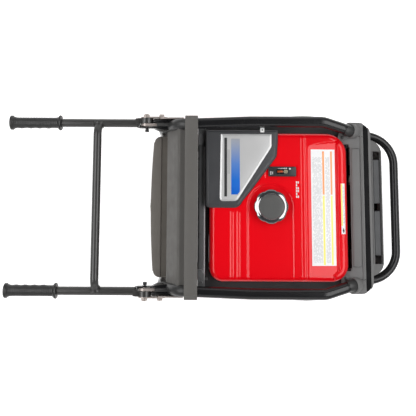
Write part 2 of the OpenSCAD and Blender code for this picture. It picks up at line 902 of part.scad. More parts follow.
module muffler() {
    color("#84868a") {
        difference() {
            translate([402, 0, 400]) rotate([90, 0, 0]) linear_extrude(300, center = true) rounded_rect(76, 150, 30);
            translate([402, 0, 400]) rotate([90, 0, 0]) linear_extrude(292, center = true) rounded_rect(70, 144, 27);
            pin_x(430, 450, exhaust_at[0], exhaust_at[1] + 20, 16.5);
        }
        bent_tube([[437, exhaust_at[0], exhaust_at[1] + 20], [480, exhaust_at[0], exhaust_at[1] + 20],
            [505, exhaust_at[0], exhaust_at[1]], [546, exhaust_at[0], exhaust_at[1]]], 17.5, 16, 30);
        bent_tube([[195.5, 168, 330], [270, 168, 330], [320, 120, 400], [363.8, 120, 400]], 15, 13.5, 30);
    }
}

module inverter_unit() {
    color("#9fa2a5") {
        span_box([-98, -150, 140], [-64, 150, 440]);
        for (i = [0:14]) span_box([-64, -141 + i * 20, 150], [-46, -138 + i * 20, 430]);
    }
}

module battery() {
    color("#222326") {
        span_box([60, -210, 112], [205, -132, 250]);
        for (x = [85, 180]) translate([x, -190, 250]) cylinder(h = 14, r = 6);
    }
}

side_tube_left();
side_tube_right();
base_frame();
front_feet();
axle();
tyre_left();
rim_left();
tyre_right();
rim_right();
rear_rail();
top_beam();
front_hood();
front_housing();
control_panel();
display();
duplex_receptacles();
locking_receptacles();
ground_terminal();
engine_switch();
eco_switch();
breaker_button_left();
breaker_button_right();
front_strip();
fuel_tank();
tank_shroud();
filler_neck();
cap_core();
fuel_cap();
fuel_gauge();
gauge_needle();
gauge_lens();
tank_trim();
trim_plate();
rear_shell();
rear_seal();
rear_cover();
louvre_plates();
side_panel_left();
side_panel_right();
maintenance_door();
door_latch();
door_pins();
cover_screws();
hinge_bracket_left();
hinge_bracket_right();
lock_pin_left();
lock_pin_right();
handle_arm_left();
handle_arm_right();
handle_crossbar();
handle_grips();
engine_block();
cylinder_head();
crankshaft();
flywheel_fan();
alternator_rotor();
alternator_stator();
muffler();
inverter_unit();
battery();
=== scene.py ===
import json
import math

import bmesh
import bpy
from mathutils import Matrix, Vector

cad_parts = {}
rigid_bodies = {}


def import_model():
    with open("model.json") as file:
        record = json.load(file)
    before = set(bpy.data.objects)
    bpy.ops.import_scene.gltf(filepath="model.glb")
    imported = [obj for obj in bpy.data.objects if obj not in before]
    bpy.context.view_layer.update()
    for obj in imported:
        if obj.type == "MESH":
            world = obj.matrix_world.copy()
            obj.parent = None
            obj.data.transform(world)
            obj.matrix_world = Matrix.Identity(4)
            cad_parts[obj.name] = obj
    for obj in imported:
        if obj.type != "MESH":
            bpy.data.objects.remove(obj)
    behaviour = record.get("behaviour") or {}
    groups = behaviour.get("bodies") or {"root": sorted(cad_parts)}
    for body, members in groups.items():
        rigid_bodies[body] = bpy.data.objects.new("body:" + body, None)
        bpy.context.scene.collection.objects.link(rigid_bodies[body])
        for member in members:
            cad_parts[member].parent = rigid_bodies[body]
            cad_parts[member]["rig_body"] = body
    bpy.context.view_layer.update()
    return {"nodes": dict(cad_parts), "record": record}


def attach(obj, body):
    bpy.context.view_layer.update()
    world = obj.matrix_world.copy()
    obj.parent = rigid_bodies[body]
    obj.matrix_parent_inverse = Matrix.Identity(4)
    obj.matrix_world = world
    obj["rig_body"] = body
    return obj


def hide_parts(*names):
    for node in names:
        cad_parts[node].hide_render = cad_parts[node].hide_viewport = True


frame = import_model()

MM = 0.001
nodes = frame["nodes"]
slot_of = {part["node"]: part["material_slot"] for part in frame["record"]["subparts"]}


# ---- camera, light and floor ----

CAMERA_PLACE = (-0.019, 0, 2.4)
CAMERA_TILT = math.radians(5.92)
CAMERA_ROLL = math.radians(0.3)
LENS_LENGTH = 50.16
LENS_SHIFT = (0.0192, -0.1486)
LIGHT_AIM = Vector((0, 0, 0.4))
FLOOR_HALF = 6.0


def make_camera():
    data = bpy.data.cameras.new("camera")
    data.lens = LENS_LENGTH
    data.shift_x, data.shift_y = LENS_SHIFT
    camera = bpy.data.objects.new("camera", data)
    camera.location = CAMERA_PLACE
    camera.rotation_euler = (CAMERA_TILT, 0, CAMERA_ROLL)
    bpy.context.scene.collection.objects.link(camera)
    bpy.context.scene.camera = camera


def make_softbox(name, place, size, watts):
    data = bpy.data.lights.new(name, "AREA")
    data.shape = "RECTANGLE"
    data.size, data.size_y = size
    data.energy = watts
    light = bpy.data.objects.new(name, data)
    light.location = place
    light.rotation_euler = (LIGHT_AIM - Vector(place)).to_track_quat("-Z", "Y").to_euler()
    bpy.context.scene.collection.objects.link(light)


def make_lights():
    for side, name in ((-1, "softbox_front"), (1, "softbox_rear")):
        make_softbox(name, (side * 1.45, 0, 2.35), (2.6, 1.1), 34)
    for side, name in ((-1, "strip_right"), (1, "strip_left")):
        make_softbox(name, (0, side * 2.1, 1.5), (2.6, 0.7), 6)


def make_world():
    world = bpy.data.worlds.new("studio")
    world.use_nodes = True
    tree = world.node_tree
    background = tree.nodes["Background"]
    coordinate = tree.nodes.new("ShaderNodeTexCoord")
    split = tree.nodes.new("ShaderNodeSeparateXYZ")
    tree.links.new(coordinate.outputs["Generated"], split.inputs[0])
    ramp = tree.nodes.new("ShaderNodeValToRGB")
    ramp.color_ramp.elements[0].position = 0.05
    ramp.color_ramp.elements[0].color = (1, 1, 1, 1)
    ramp.color_ramp.elements[1].position = 0.85
    ramp.color_ramp.elements[1].color = (0.07, 0.07, 0.072, 1)
    tree.links.new(split.outputs["Z"], ramp.inputs[0])
    tree.links.new(ramp.outputs[0], background.inputs["Color"])
    background.inputs["Strength"].default_value = 0.5
    bpy.context.scene.world = world


def make_floor():
    mesh = bpy.data.meshes.new("floor")
    corners = [(-1, -1), (1, -1), (1, 1), (-1, 1)]
    mesh.from_pydata([(FLOOR_HALF * x, FLOOR_HALF * y, 0) for x, y in corners], [], [(0, 1, 2, 3)])
    floor = bpy.data.objects.new("floor", mesh)
    bpy.context.scene.collection.objects.link(floor)
    material = bpy.data.materials.new("floor_pale")
    material.use_nodes = True
    shader = material.node_tree.nodes["Principled BSDF"]
    shader.inputs["Base Color"].default_value = (0.93, 0.93, 0.93, 1)
    shader.inputs["Roughness"].default_value = 0.9
    shader.inputs["Emission Color"].default_value = (1, 1, 1, 1)
    shader.inputs["Emission Strength"].default_value = 0.6
    mesh.materials.append(material)


# ---- materials ----


class Nodes:
    """Short names for adding the nodes of one material."""

    def __init__(self):
        self.material = bpy.data.materials.new("finish")
        self.material.use_nodes = True
        self.tree = self.material.node_tree
        self.shader = self.tree.nodes["Principled BSDF"]
        self.place = self.new("TexCoord").outputs["Object"]

    def feed(self, value, socket):
        if isinstance(value, bpy.types.NodeSocket):
            self.tree.links.new(value, socket)
        else:
            socket.default_value = value

    def new(self, kind, **inputs):
        """A node of one kind, with its named inputs fed."""
        node = self.tree.nodes.new("ShaderNode" + kind)
        for name, value in inputs.items():
            self.feed(value, node.inputs[name])
        return node

    def noise(self, scale, detail=3, stretch=None, place=None):
        place = place or self.place
        if stretch:
            place = self.new("Mapping", Vector=place, Scale=stretch).outputs[0]
        return self.new("TexNoise", Vector=place, Scale=scale, Detail=detail).outputs["Fac"]

    def ramp(self, value, stops):
        node = self.new("ValToRGB")
        elements = node.color_ramp.elements
        while len(elements) < len(stops):
            elements.new(0.5)
        for element, (at, colour) in zip(elements, stops):
            element.position = at
            element.color = (*colour, 1)
        self.feed(value, node.inputs[0])
        return node.outputs[0]

    def spread(self, value, low, high, source=(0.3, 0.7)):
        node = self.new("MapRange")
        self.feed(value, node.inputs[0])
        for number, socket in zip((*source, low, high), node.inputs[1:5]):
            socket.default_value = number
        return node.outputs[0]

    def maths(self, operation, a, b=0.0):
        node = self.new("Math")
        node.operation = operation
        self.feed(a, node.inputs[0])
        self.feed(b, node.inputs[1])
        return node.outputs[0]

    def mix(self, factor, a, b):
        node = self.new("Mix")
        node.data_type = "RGBA"
        self.feed(factor, node.inputs["Factor"])
        self.feed(a, node.inputs["A"])
        self.feed(b, node.inputs["B"])
        return node.outputs["Result"]

    def axis(self, letter):
        return self.new("SeparateXYZ", Vector=self.place).outputs[letter]

    def bump(self, height, strength, microns):
        node = self.new("Bump", Height=height, Strength=strength, Distance=microns * 1e-6)
        self.feed(node.outputs[0], self.shader.inputs["Normal"])

    def base(self, colour):
        self.feed(colour, self.shader.inputs["Base Color"])

    def gloss(self, value, low, high):
        """Roughness that wanders between two values."""
        self.feed(self.spread(value, low, high), self.shader.inputs["Roughness"])

    def set(self, **values):
        """Plain numbers on the shader's own sockets."""
        for name, value in values.items():
            socket = name.replace("_", " ").title().replace("Ior", "IOR")
            self.shader.inputs[socket].default_value = value


def shade(colour, factor):
    return tuple(min(1, part * factor) for part in colour)


def surface(colour, rough, grain, grain_height, grain_strength, variation=0.12, metallic=0.0,
            coat=0.0, coat_rough=0.05, specular=0.5, ior=1.5, coat_ior=1.5, uneven=0.15):
    """Slow colour variation, an uneven gloss and a fine raised grain, its height in micrometres."""
    n = Nodes()
    dark, light = shade(colour, 1 - variation), shade(colour, 1 + variation)
    n.base(n.ramp(n.noise(9, 4), [(0.3, dark), (0.7, light)]))
    n.gloss(n.noise(38, 5), rough * (1 - uneven), min(1, rough * (1 + uneven)))
    n.set(metallic=metallic, coat_weight=coat, coat_roughness=coat_rough, specular_ior_level=specular,
          ior=ior, coat_ior=coat_ior)
    n.bump(n.noise(grain, 2), grain_strength, grain_height)
    return n.material


LINE_PITCH, WORD_RATE, WORD_GAPS, INK_STRENGTH = 0.0026, 160, 0.44, 0.62


def label_material(columns, strips):
    """Paper with columns of grey dashes that spell nothing, and coloured strips; boxes in metres."""
    n = Nodes()
    x, y = n.axis("X"), n.axis("Y")
    row = n.maths("DIVIDE", x, LINE_PITCH)
    line = n.maths("LESS_THAN", n.maths("FRACT", row), 0.5)
    jump = n.maths("MULTIPLY", n.maths("FLOOR", row), 7.3)
    joined = n.new("CombineXYZ", X=jump, Y=n.maths("MULTIPLY", y, WORD_RATE)).outputs[0]
    word = n.maths("GREATER_THAN", n.noise(1.0, 1.0, place=joined), WORD_GAPS)
    inked = n.maths("MULTIPLY", line, word)

    def between(value, low, high):
        above, below = n.maths("GREATER_THAN", value, low), n.maths("LESS_THAN", value, high)
        return n.maths("MULTIPLY", above, below)

    def area(box):
        return n.maths("MULTIPLY", between(x, box[0], box[1]), between(y, box[2], box[3]))

    colour = n.ramp(n.noise(30, 3), [(0.3, (0.80, 0.80, 0.81)), (0.7, (0.88, 0.88, 0.88))])
    for box in columns:
        here = n.maths("MULTIPLY", area(box), inked)
        colour = n.mix(n.maths("MULTIPLY", here, INK_STRENGTH), colour, (0.30, 0.31, 0.33, 1))
    for box, ink in strips:
        colour = n.mix(area(box), colour, (*ink, 1))
    n.base(colour)
    n.gloss(n.noise(60, 3), 0.28, 0.4)
    n.set(coat_weight=0.25, coat_roughness=0.15)
    n.bump(n.noise(700, 2), 0.2, 30)
    return n.material


def fade_material(axis, start, end, stops):
    """A printed strip whose ink fades along one axis."""
    n = Nodes()
    along = n.spread(n.axis(axis), 0.0, 1.0, (start, end))
    n.base(n.ramp(along, stops))
    n.gloss(n.noise(60, 3), 0.3, 0.42)
    n.set(metallic=0.15, coat_weight=0.3, coat_roughness=0.1)
    n.bump(n.noise(1200, 2), 0.15, 20)
    return n.material


def brushed(colour, rough, tint, along=(1, 1, 1), metallic=1.0):
    """Plated or machined metal with fine scratches that run one way."""
    n = Nodes()
    n.base(n.ramp(n.noise(14, 4), [(0.3, colour), (0.7, tint)]))
    scratches = n.noise(420, 3, along)
    n.gloss(scratches, rough * 0.8, rough * 1.25)
    n.set(metallic=metallic)
    n.bump(scratches, 0.25, 40)
    return n.material


def needle_material():
    """Orange pointer with a pale tip."""
    n = Nodes()
    tip = n.spread(n.axis("X"), 0.0, 1.0, (0.2275, 0.2285))
    worn = n.ramp(n.noise(60, 3), [(0.3, (0.80, 0.10, 0.02)), (0.7, (0.90, 0.14, 0.03))])
    n.base(n.mix(tip, worn, (0.74, 0.62, 0.42, 1)))
    n.gloss(n.noise(80, 3), 0.3, 0.42)
    n.bump(n.noise(900, 2), 0.2, 20)
    return n.material


def clear_window():
    """Clear plastic with faint smudges."""
    n = Nodes()
    n.base(n.ramp(n.noise(50, 2), [(0.3, (0.93, 0.95, 0.96)), (0.7, (0.97, 0.98, 0.98))]))
    n.gloss(n.noise(80, 3), 0.02, 0.08)
    n.set(transmission_weight=1.0, ior=1.45)
    return n.material


def slot_finishes():
    """One finish for each material slot of the CAD model."""
    return {
        "frame_black": surface((0.010, 0.010, 0.011), 0.26, 1500, 6, 0.2, coat=0.15, coat_rough=0.14,
                               specular=0.35, uneven=0.06),
        "handle_black": surface((0.029, 0.028, 0.027), 0.34, 1500, 6, 0.2, coat=0.45, coat_rough=0.24,
                                uneven=0.05),
        "foot_rubber": surface((0.02, 0.02, 0.02), 0.8, 700, 100, 0.5, 0.25),
        "tyre_rubber": surface((0.022, 0.022, 0.023), 0.78, 600, 120, 0.5, 0.25),
        "grip_rubber": surface((0.020, 0.020, 0.020), 0.4, 800, 30, 0.3, 0.2),
        "rim_grey": surface((0.30, 0.31, 0.32), 0.38, 900, 40, 0.3, 0.08, coat=0.3),
        "zinc": brushed((0.42, 0.375, 0.35), 0.4, (0.50, 0.44, 0.41), (1, 6, 6), 0.7),
        "beam_grey": surface((0.104, 0.099, 0.092), 0.6, 1600, 60, 0.4, 0.04),
        "housing_grey": surface((0.180, 0.164, 0.146), 0.6, 1600, 60, 0.4, 0.04),
        "panel_black": surface((0.022, 0.022, 0.024), 0.5, 2200, 80, 0.4, 0.1),
        "display_glass": surface((0.006, 0.007, 0.008), 0.12, 300, 10, 0.1, 0.3, coat=1.0),
        "outlet_ivory": surface((0.60, 0.57, 0.50), 0.42, 1200, 30, 0.3, 0.04),
        "outlet_black": surface((0.018, 0.018, 0.02), 0.42, 1200, 40, 0.3, 0.15),
        "knob_black": surface((0.02, 0.021, 0.022), 0.4, 1300, 50, 0.35, 0.15),
        "eco_yellow": surface((0.68, 0.47, 0.04), 0.38, 1200, 30, 0.3, 0.05),
        "strip_black": surface((0.125, 0.126, 0.129), 0.3, 1200, 40, 0.3, 0.1, coat=0.4, coat_rough=0.15),
        "tank_red": surface((0.80, 0.0, 0.006), 0.35, 260, 0.8, 0.1, 0.015, coat=0.6, coat_rough=0.025,
                            specular=0.12, uneven=0.04),
        "side_red": surface((0.72, 0.001, 0.008), 0.36, 260, 4, 0.12, 0.03, coat=0.9, coat_rough=0.06,
                            specular=0.3),
        "shroud_black": surface((0.034, 0.0345, 0.036), 0.55, 1500, 100, 0.45, 0.15),
        "neck_steel": brushed((0.52, 0.52, 0.53), 0.3, (0.58, 0.57, 0.55), (1, 1, 8)),
        "cap_core_black": surface((0.02, 0.02, 0.021), 0.55, 900, 60, 0.4, 0.2),
        "cap_dark": surface((0.016, 0.017, 0.021), 0.1, 1200, 5, 0.15, 0.1, coat=1.0, coat_rough=0.04,
                            ior=2.5, coat_ior=2.1),
        "gauge_black": surface((0.02, 0.02, 0.022), 0.45, 1500, 50, 0.35, 0.12),
        "needle_orange": needle_material(),
        "gauge_lens": clear_window(),
        "trim_charcoal": surface((0.044, 0.045, 0.049), 0.42, 1500, 80, 0.35, 0.06),
        "plate_silver": brushed((0.60, 0.60, 0.60), 0.42, (0.64, 0.64, 0.64), (1, 14, 1), 0.45),
        "shell_grey": surface((0.140, 0.139, 0.138), 0.55, 1600, 100, 0.45, 0.05),
        "seal_black": surface((0.005, 0.005, 0.0055), 0.6, 900, 40, 0.3, 0.2, specular=0.12),
        "louvre_dark": surface((0.066, 0.068, 0.072), 0.45, 1200, 30, 0.3, 0.08),
        "engine_alloy": surface((0.42, 0.43, 0.44), 0.45, 380, 300, 0.6, 0.1, metallic=0.9),
        "shaft_steel": brushed((0.5, 0.5, 0.51), 0.25, (0.56, 0.55, 0.54), (12, 1, 1)),
        "fan_black": surface((0.05, 0.05, 0.055), 0.45, 900, 60, 0.4, 0.12),
        "winding_copper": brushed((0.42, 0.17, 0.07), 0.35, (0.52, 0.24, 0.10), (1, 8, 8)),
        "muffler_steel": brushed((0.25, 0.24, 0.23), 0.45, (0.36, 0.31, 0.26), (6, 1, 6)),
        "inverter_alloy": surface((0.34, 0.35, 0.36), 0.4, 420, 200, 0.5, 0.08, metallic=0.9),
        "battery_case": surface((0.025, 0.025, 0.028), 0.5, 1200, 60, 0.4, 0.12),
    }


def detail_finishes():
    """Finishes of small details, which share a slot with a larger piece."""
    return {
        "cap_top": surface((0.078, 0.078, 0.076), 0.5, 1500, 30, 0.3, 0.1),
        "screw_black": surface((0.040, 0.040, 0.041), 0.32, 1400, 30, 0.3, 0.08, coat=0.5),
        # Light grey for the bead on the black front strip: a painted highlight, not the strip's own colour
        "painted_highlight_grey": surface((0.34, 0.34, 0.35), 0.3, 1400, 4, 0.2, 0.1, coat=0.6),
        "ink_grey": surface((0.22, 0.22, 0.23), 0.45, 900, 20, 0.2, 0.08),
        "white_plastic": surface((0.78, 0.78, 0.77), 0.4, 1200, 30, 0.3, 0.04),
        "ink_black": surface((0.03, 0.03, 0.032), 0.4, 900, 20, 0.2, 0.1),
        "ink_white": surface((0.75, 0.75, 0.75), 0.45, 900, 20, 0.2, 0.05),
        "lamp_green": surface((0.03, 0.45, 0.08), 0.2, 900, 20, 0.2, 0.05, coat=1.0),
        "lamp_red": surface((0.6, 0.02, 0.02), 0.2, 900, 20, 0.2, 0.05, coat=1.0),
        "scale_cream": surface((0.62, 0.52, 0.34), 0.5, 900, 20, 0.2, 0.06),
        # Darker brown than the housing: painted shade for the groove behind the housing's lip
        "painted_shade_brown": surface((0.125, 0.112, 0.096), 0.7, 1400, 60, 0.4, 0.06),
        # Near black for sheets that are painted shade in gaps and openings
        "painted_shade_black": surface((0.004, 0.004, 0.004), 0.8, 900, 30, 0.3, 0.3, specular=0.1),
    }


# ---- mesh helpers; lengths are in millimetres ----


def add_piece(name, mesh, material, slot, body="frame", stands_for=(), smooth_angle=32):
    """Links a mesh as one piece of the object, with its finish and the body that it rides on."""
    bm = bmesh.new()
    bm.from_mesh(mesh)
    bmesh.ops.recalc_face_normals(bm, faces=bm.faces)
    bm.to_mesh(mesh)
    bm.free()
    mesh.polygons.foreach_set("use_smooth", [True] * len(mesh.polygons))
    mesh.set_sharp_from_angle(angle=math.radians(smooth_angle))
    mesh.materials.clear()
    mesh.materials.append(material)
    piece = bpy.data.objects.new(name, mesh)
    bpy.context.scene.collection.objects.link(piece)
    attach(piece, body)
    if stands_for:
        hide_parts(*stands_for)


class Form:
    """Collects vertices and faces, in millimetres, and turns them into one mesh."""

    def __init__(self):
        self.points = []
        self.faces = []

    def loop(self, points):
        start = len(self.points)
        self.points.extend(tuple(p) for p in points)
        return list(range(start, len(self.points)))

    def bridge(self, a, b, closed=True):
        for i in range(len(a) if closed else len(a) - 1):
            j = (i + 1) % len(a)
            self.faces.append((a[i], a[j], b[j], b[i]))

    def loft(self, rings, cap_start=True, cap_end=True):
        loops = [self.loop(ring) for ring in rings]
        for a, b in zip(loops, loops[1:]):
            self.bridge(a, b)
        if cap_start:
            self.faces.append(tuple(reversed(loops[0])))
        if cap_end:
            self.faces.append(tuple(loops[-1]))
        return loops

    def block(self, low, high):
        (x0, y0, z0), (x1, y1, z1) = low, high
        base = [(x0, y0), (x1, y0), (x1, y1), (x0, y1)]
        self.loft([[(x, y, z0) for x, y in base], [(x, y, z1) for x, y in base]])

    def mesh(self, name):
        mesh = bpy.data.meshes.new(name)
        mesh.from_pydata([(x * MM, y * MM, z * MM) for x, y, z in self.points], [], self.faces)
        return mesh

    def piece(self, name, finish, slot=None, **details):
        """Makes one piece and empties the form; the slot, named like the finish unless given, is not used.
        """
        material = finishes[finish] if isinstance(finish, str) else finish
        add_piece(name, self.mesh(name), material, slot or finish, **details)
        self.points, self.faces = [], []


def turns(steps):
    """Even turns once round a circle."""
    return [2 * math.pi * i / steps for i in range(steps)]


def oval(cx, cy, rx, ry, steps):
    """Points round an ellipse."""
    return [(cx + rx * math.cos(t), cy + ry * math.sin(t)) for t in turns(steps)]


def rod(form, x, z, radius, steps, ends):
    """A round bar from side to side."""
    form.loft([[(u, y, v) for u, v in oval(x, z, radius, radius, steps)] for y in ends])


def arc(cx, cy, r, start, end, steps=8):
    """Points of a circle's arc; the angles are in degrees."""
    turn = [math.radians(start + (end - start) * i / steps) for i in range(steps + 1)]
    return [(cx + r * math.cos(t), cy + r * math.sin(t)) for t in turn]


def rounded_rectangle(x0, x1, y0, y1, r, steps=6):
    return (arc(x1 - r, y1 - r, r, 0, 90, steps) + arc(x0 + r, y1 - r, r, 90, 180, steps)
            + arc(x0 + r, y0 + r, r, 180, 270, steps) + arc(x1 - r, y0 + r, r, 270, 360, steps))


def inset(outline, distance):
    """Moves each side of a convex outline inward by a distance."""
    area = sum(a[0] * b[1] - b[0] * a[1] for a, b in zip(outline, outline[1:] + outline[:1]))
    inward = 1 if area > 0 else -1
    result = []
    for i, point in enumerate(outline):
        before, after = Vector(outline[i - 1]), Vector(outline[(i + 1) % len(outline)])
        p = Vector(point)
        a, b = (p - before).normalized(), (after - p).normalized()
        na, nb = Vector((-a.y, a.x)) * inward, Vector((-b.y, b.x)) * inward
        between = (na + nb).normalized()
        result.append(tuple(p + between * distance / max(0.3, between.dot(na))))
    return result


def pad(form, outline, profile, place=None):
    """A flat-topped solid: the outline drawn in by each inset of the profile, at each height."""
    place = place or (lambda u, v, w: (u, v, w))
    rings = [[place(u, v, height) for u, v in inset(outline, shrink)] for shrink, height in profile]
    form.loft(rings)


def lathe(form, profile, centre, axis="Z", steps=32, shape=None, closed=False):
    """Turns (radius, height) points about an axis through a centre; a closed profile makes a ring."""
    cx, cy, cz = centre
    rings = []
    for radius, height in profile:
        ring = []
        for t in turns(steps):
            r = shape(radius, height, t) if shape else radius
            u, v = r * math.cos(t), r * math.sin(t)
            places = {"Z": (cx + u, cy + v, cz + height), "Y": (cx + u, cy + height, cz + v),
                      "X": (cx + height, cy + u, cz + v)}
            ring.append(places[axis])
        rings.append(ring)
    loops = form.loft(rings, not closed, not closed)
    if closed:
        form.bridge(loops[-1], loops[0])


def smooth_step(value, low, high):
    t = min(1.0, max(0.0, (value - low) / (high - low)))
    return t * t * (3 - 2 * t)


SHARP_ANGLE = 28.0


def softened(node, width, adjust=None):
    """Stands for a CAD node with the same shape and its sharp edges rounded off."""
    mesh = nodes[node].data.copy()
    mesh.name = node + "_soft"
    bm = bmesh.new()
    bm.from_mesh(mesh)
    if adjust:
        for vertex in bm.verts:
            vertex.co = adjust(vertex.co)
    bmesh.ops.remove_doubles(bm, verts=bm.verts, dist=0.00002)
    bmesh.ops.dissolve_limit(bm, angle_limit=math.radians(0.6), verts=bm.verts, edges=bm.edges)
    edges = [e for e in bm.edges
             if len(e.link_faces) == 2 and e.calc_face_angle(0) > math.radians(SHARP_ANGLE)]
    bmesh.ops.bevel(bm, geom=edges, offset=width * MM, offset_type="OFFSET", segments=3, profile=0.5,
                    affect="EDGES", clamp_overlap=True, loop_slide=True, miter_outer="ARC")
    bm.to_mesh(mesh)
    bm.free()
    slot = slot_of[node]
    add_piece(mesh.name, mesh, finishes[slot], slot, nodes[node]["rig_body"], (node,), 35)


def screw_head(form, place, axis, radius, height, sign=1):
    """A domed head with a six-sided socket."""
    profile = [(1, 0), (1, 0.45), (0.86, 0.85), (0.62, 1), (0.46, 1), (0.42, 0.4), (0.02, 0.4)]

    def socket(r, h, t):
        sixth = math.pi / 3
        return r / math.cos(t % sixth - sixth / 2) if r < radius * 0.5 else r

    lathe(form, [(r * radius, sign * h * height) for r, h in profile], place, axis, 24, socket)


def mirrored(outline, side):
    """The outline itself on the left side, and its mirror image on the right."""
    return [(x, y * side) for x, y in outline]


# ---- fuel tank ----

TANK_X0, TANK_X1, TANK_HALF = 9.0, 418.0, 219.0
TANK_TOP, TANK_BOTTOM, TANK_ROUND = 682.0, 566.0, 18.0
TANK_CORNERS = {(-1, -1): 40.0, (-1, 1): 40.0, (1, -1): 50.0, (1, 1): 60.0}
TANK_COLUMNS, TANK_ROWS, RIM_STEPS = 188, 136, 9
FILLER_X, FILLER_Y = 189.0, 0.0
RIB_LINES, RIB_DEPTH = (75.0, 94.5), 2.0
BEAD_LINE, BEAD_HALF, BEAD_HEIGHT = 286.5, 7.0, 2.6
LABEL_PANEL_X = 306.0


def tank_relief(x, y):
    """How far the pressed top stands above or below its flat level."""
    height = 0.0
    # Recessed channel round the filler, open to the right side
    dx = abs(x - FILLER_X)
    reach = math.hypot(dx, y) if y > 0 else dx
    height -= 3.0 * (1 - smooth_step(reach, 63.0, 71.0))
    # Two shallow ribs
    for middle in RIB_LINES:
        across = 1 - smooth_step(abs(x - middle), 2.6, 5.2)
        along = smooth_step(-y, 13, 17) * (1 - smooth_step(-y, 211, 216))
        height -= RIB_DEPTH * across * along
    # Shallow seat round the gauge
    seat = smooth_step(x, 172, 175) * (1 - smooth_step(x, 266, 271))
    height -= 1.0 * seat * smooth_step(y, 82, 86) * (1 - smooth_step(y, 121, 125))
    # Bead in front of the label panel
    ends = 1 - smooth_step(abs(y), 206, 214)
    height += BEAD_HEIGHT * math.sqrt(max(0.0, 1 - ((x - BEAD_LINE) / BEAD_HALF) ** 2)) * ends
    # Label panel: its floor falls towards the rear, up to a step at its far side
    far_end = 178 + 16 * math.sqrt(min(1, max(0, (x - LABEL_PANEL_X) / 76)))
    near_end = -211 + max(0, x - 364) * 0.9
    panel = smooth_step(far_end - y, 0, 3) * smooth_step(y - near_end, 0, 3)
    fall = 1.2 + 0.084 * (x - LABEL_PANEL_X)
    height -= fall * smooth_step(x, 300, 307) * (1 - smooth_step(x, 385, 391)) * panel
    return height


def tank_edge_drop(x, y):
    """How far the rounded rim has fallen at a place in plan."""
    inner = min(x - TANK_X0, TANK_X1 - x, TANK_HALF - abs(y))
    return TANK_ROUND - math.sqrt(max(0, TANK_ROUND**2 - max(0, TANK_ROUND - inner) ** 2))


def tank_height(x, y):
    return TANK_TOP - tank_edge_drop(x, y) + tank_relief(x, y)


def corner_centres(x0, x1, half, radii):
    """The two directions, the radius and the centre of each round corner."""
    return [(sx, sy, r, x1 - r if sx > 0 else x0 + r, sy * (half - r)) for (sx, sy), r in radii.items()]


def corner_squeeze(x, y, corners):
    """Maps a rectangle's corner squares onto quarter discs, so that a grid gets round corners."""
    for sx, sy, r, cx, cy in corners:
        a, b = (x - cx) * sx / r, (y - cy) * sy / r
        if a > 0 and b > 0:
            return cx + sx * r * a * math.sqrt(1 - b * b / 2), cy + sy * r * b * math.sqrt(1 - a * a / 2)
    return x, y


def tank_shell():
    """The pressed top, its rounded rim, the walls and a folded seam near the foot."""
    x0, x1, half = TANK_X0 + TANK_ROUND, TANK_X1 - TANK_ROUND, TANK_HALF - TANK_ROUND
    corners = corner_centres(x0, x1, half, {key: r - TANK_ROUND for key, r in TANK_CORNERS.items()})
    columns, rows = TANK_COLUMNS, TANK_ROWS
    xs = [x0 + (x1 - x0) * i / columns for i in range(columns + 1)]
    ys = [-half + 2 * half * j / rows for j in range(rows + 1)]
    form = Form()
    grid = []
    for x in xs:
        line = [corner_squeeze(x, y, corners) for y in ys]
        grid.append(form.loop((u, v, TANK_TOP + tank_relief(u, v)) for u, v in line))
    for a, b in zip(grid, grid[1:]):
        form.bridge(a, b, closed=False)
    rim = ([grid[i][0] for i in range(columns)] + [grid[columns][j] for j in range(rows)]
           + [grid[i][rows] for i in range(columns, 0, -1)] + [grid[0][j] for j in range(rows, 0, -1)])
    flat = [form.points[i] for i in rim]
    outward = []
    for x, y, _ in flat:
        direction = Vector((0, 0))
        for sx, sy, _, cx, cy in corners:
            if (x - cx) * sx >= -0.001 and (y - cy) * sy >= -0.001:
                direction = Vector((x - cx, y - cy))
        if direction.length < 0.01:
            sides = {(-1, 0): x - x0, (1, 0): x1 - x, (0, -1): y + half, (0, 1): half - y}
            direction = Vector(min(sides, key=sides.get))
        outward.append(direction.normalized())
    rings = []
    for step in range(1, RIM_STEPS + 1):
        turn = math.pi / 2 * step / RIM_STEPS
        out = TANK_ROUND * math.sin(turn)
        level = TANK_TOP - TANK_ROUND * (1 - math.cos(turn))
        rings.append([(x + way.x * out, y + way.y * out, level + (z - TANK_TOP) * math.cos(turn))
                      for (x, y, z), way in zip(flat, outward)])
    for grow, z in ((0, 606), (0, 580), (-3, 577), (-3, TANK_BOTTOM)):
        out = TANK_ROUND + grow
        rings.append([(x + way.x * out, y + way.y * out, z) for (x, y, _), way in zip(flat, outward)])
    last = rim
    for ring in rings:
        ring = form.loop(ring)
        form.bridge(last, ring)
        last = ring
    form.faces.append(tuple(last))
    form.piece("tank_shell", "tank_red", stands_for=("fuel_tank",), smooth_angle=50)


def laid_sheet(form, x0, x1, y0, y1, lift=0.35, columns=10, rows=24):
    """A thin sticker that follows the top of the tank."""
    top, under = [], []
    for i in range(columns + 1):
        x = x0 + (x1 - x0) * i / columns
        line = [(x, y0 + (y1 - y0) * j / rows) for j in range(rows + 1)]
        top.append(form.loop((x, y, tank_height(x, y) + lift) for x, y in line))
        under.append(form.loop((x, y, tank_height(x, y) - 0.3) for x, y in line))
    for grid in (top, under):
        for a, b in zip(grid, grid[1:]):
            form.bridge(a, b, closed=False)
    for end in (0, -1):
        form.bridge(top[end], under[end], closed=False)
        form.bridge([line[end] for line in top], [line[end] for line in under], closed=False)


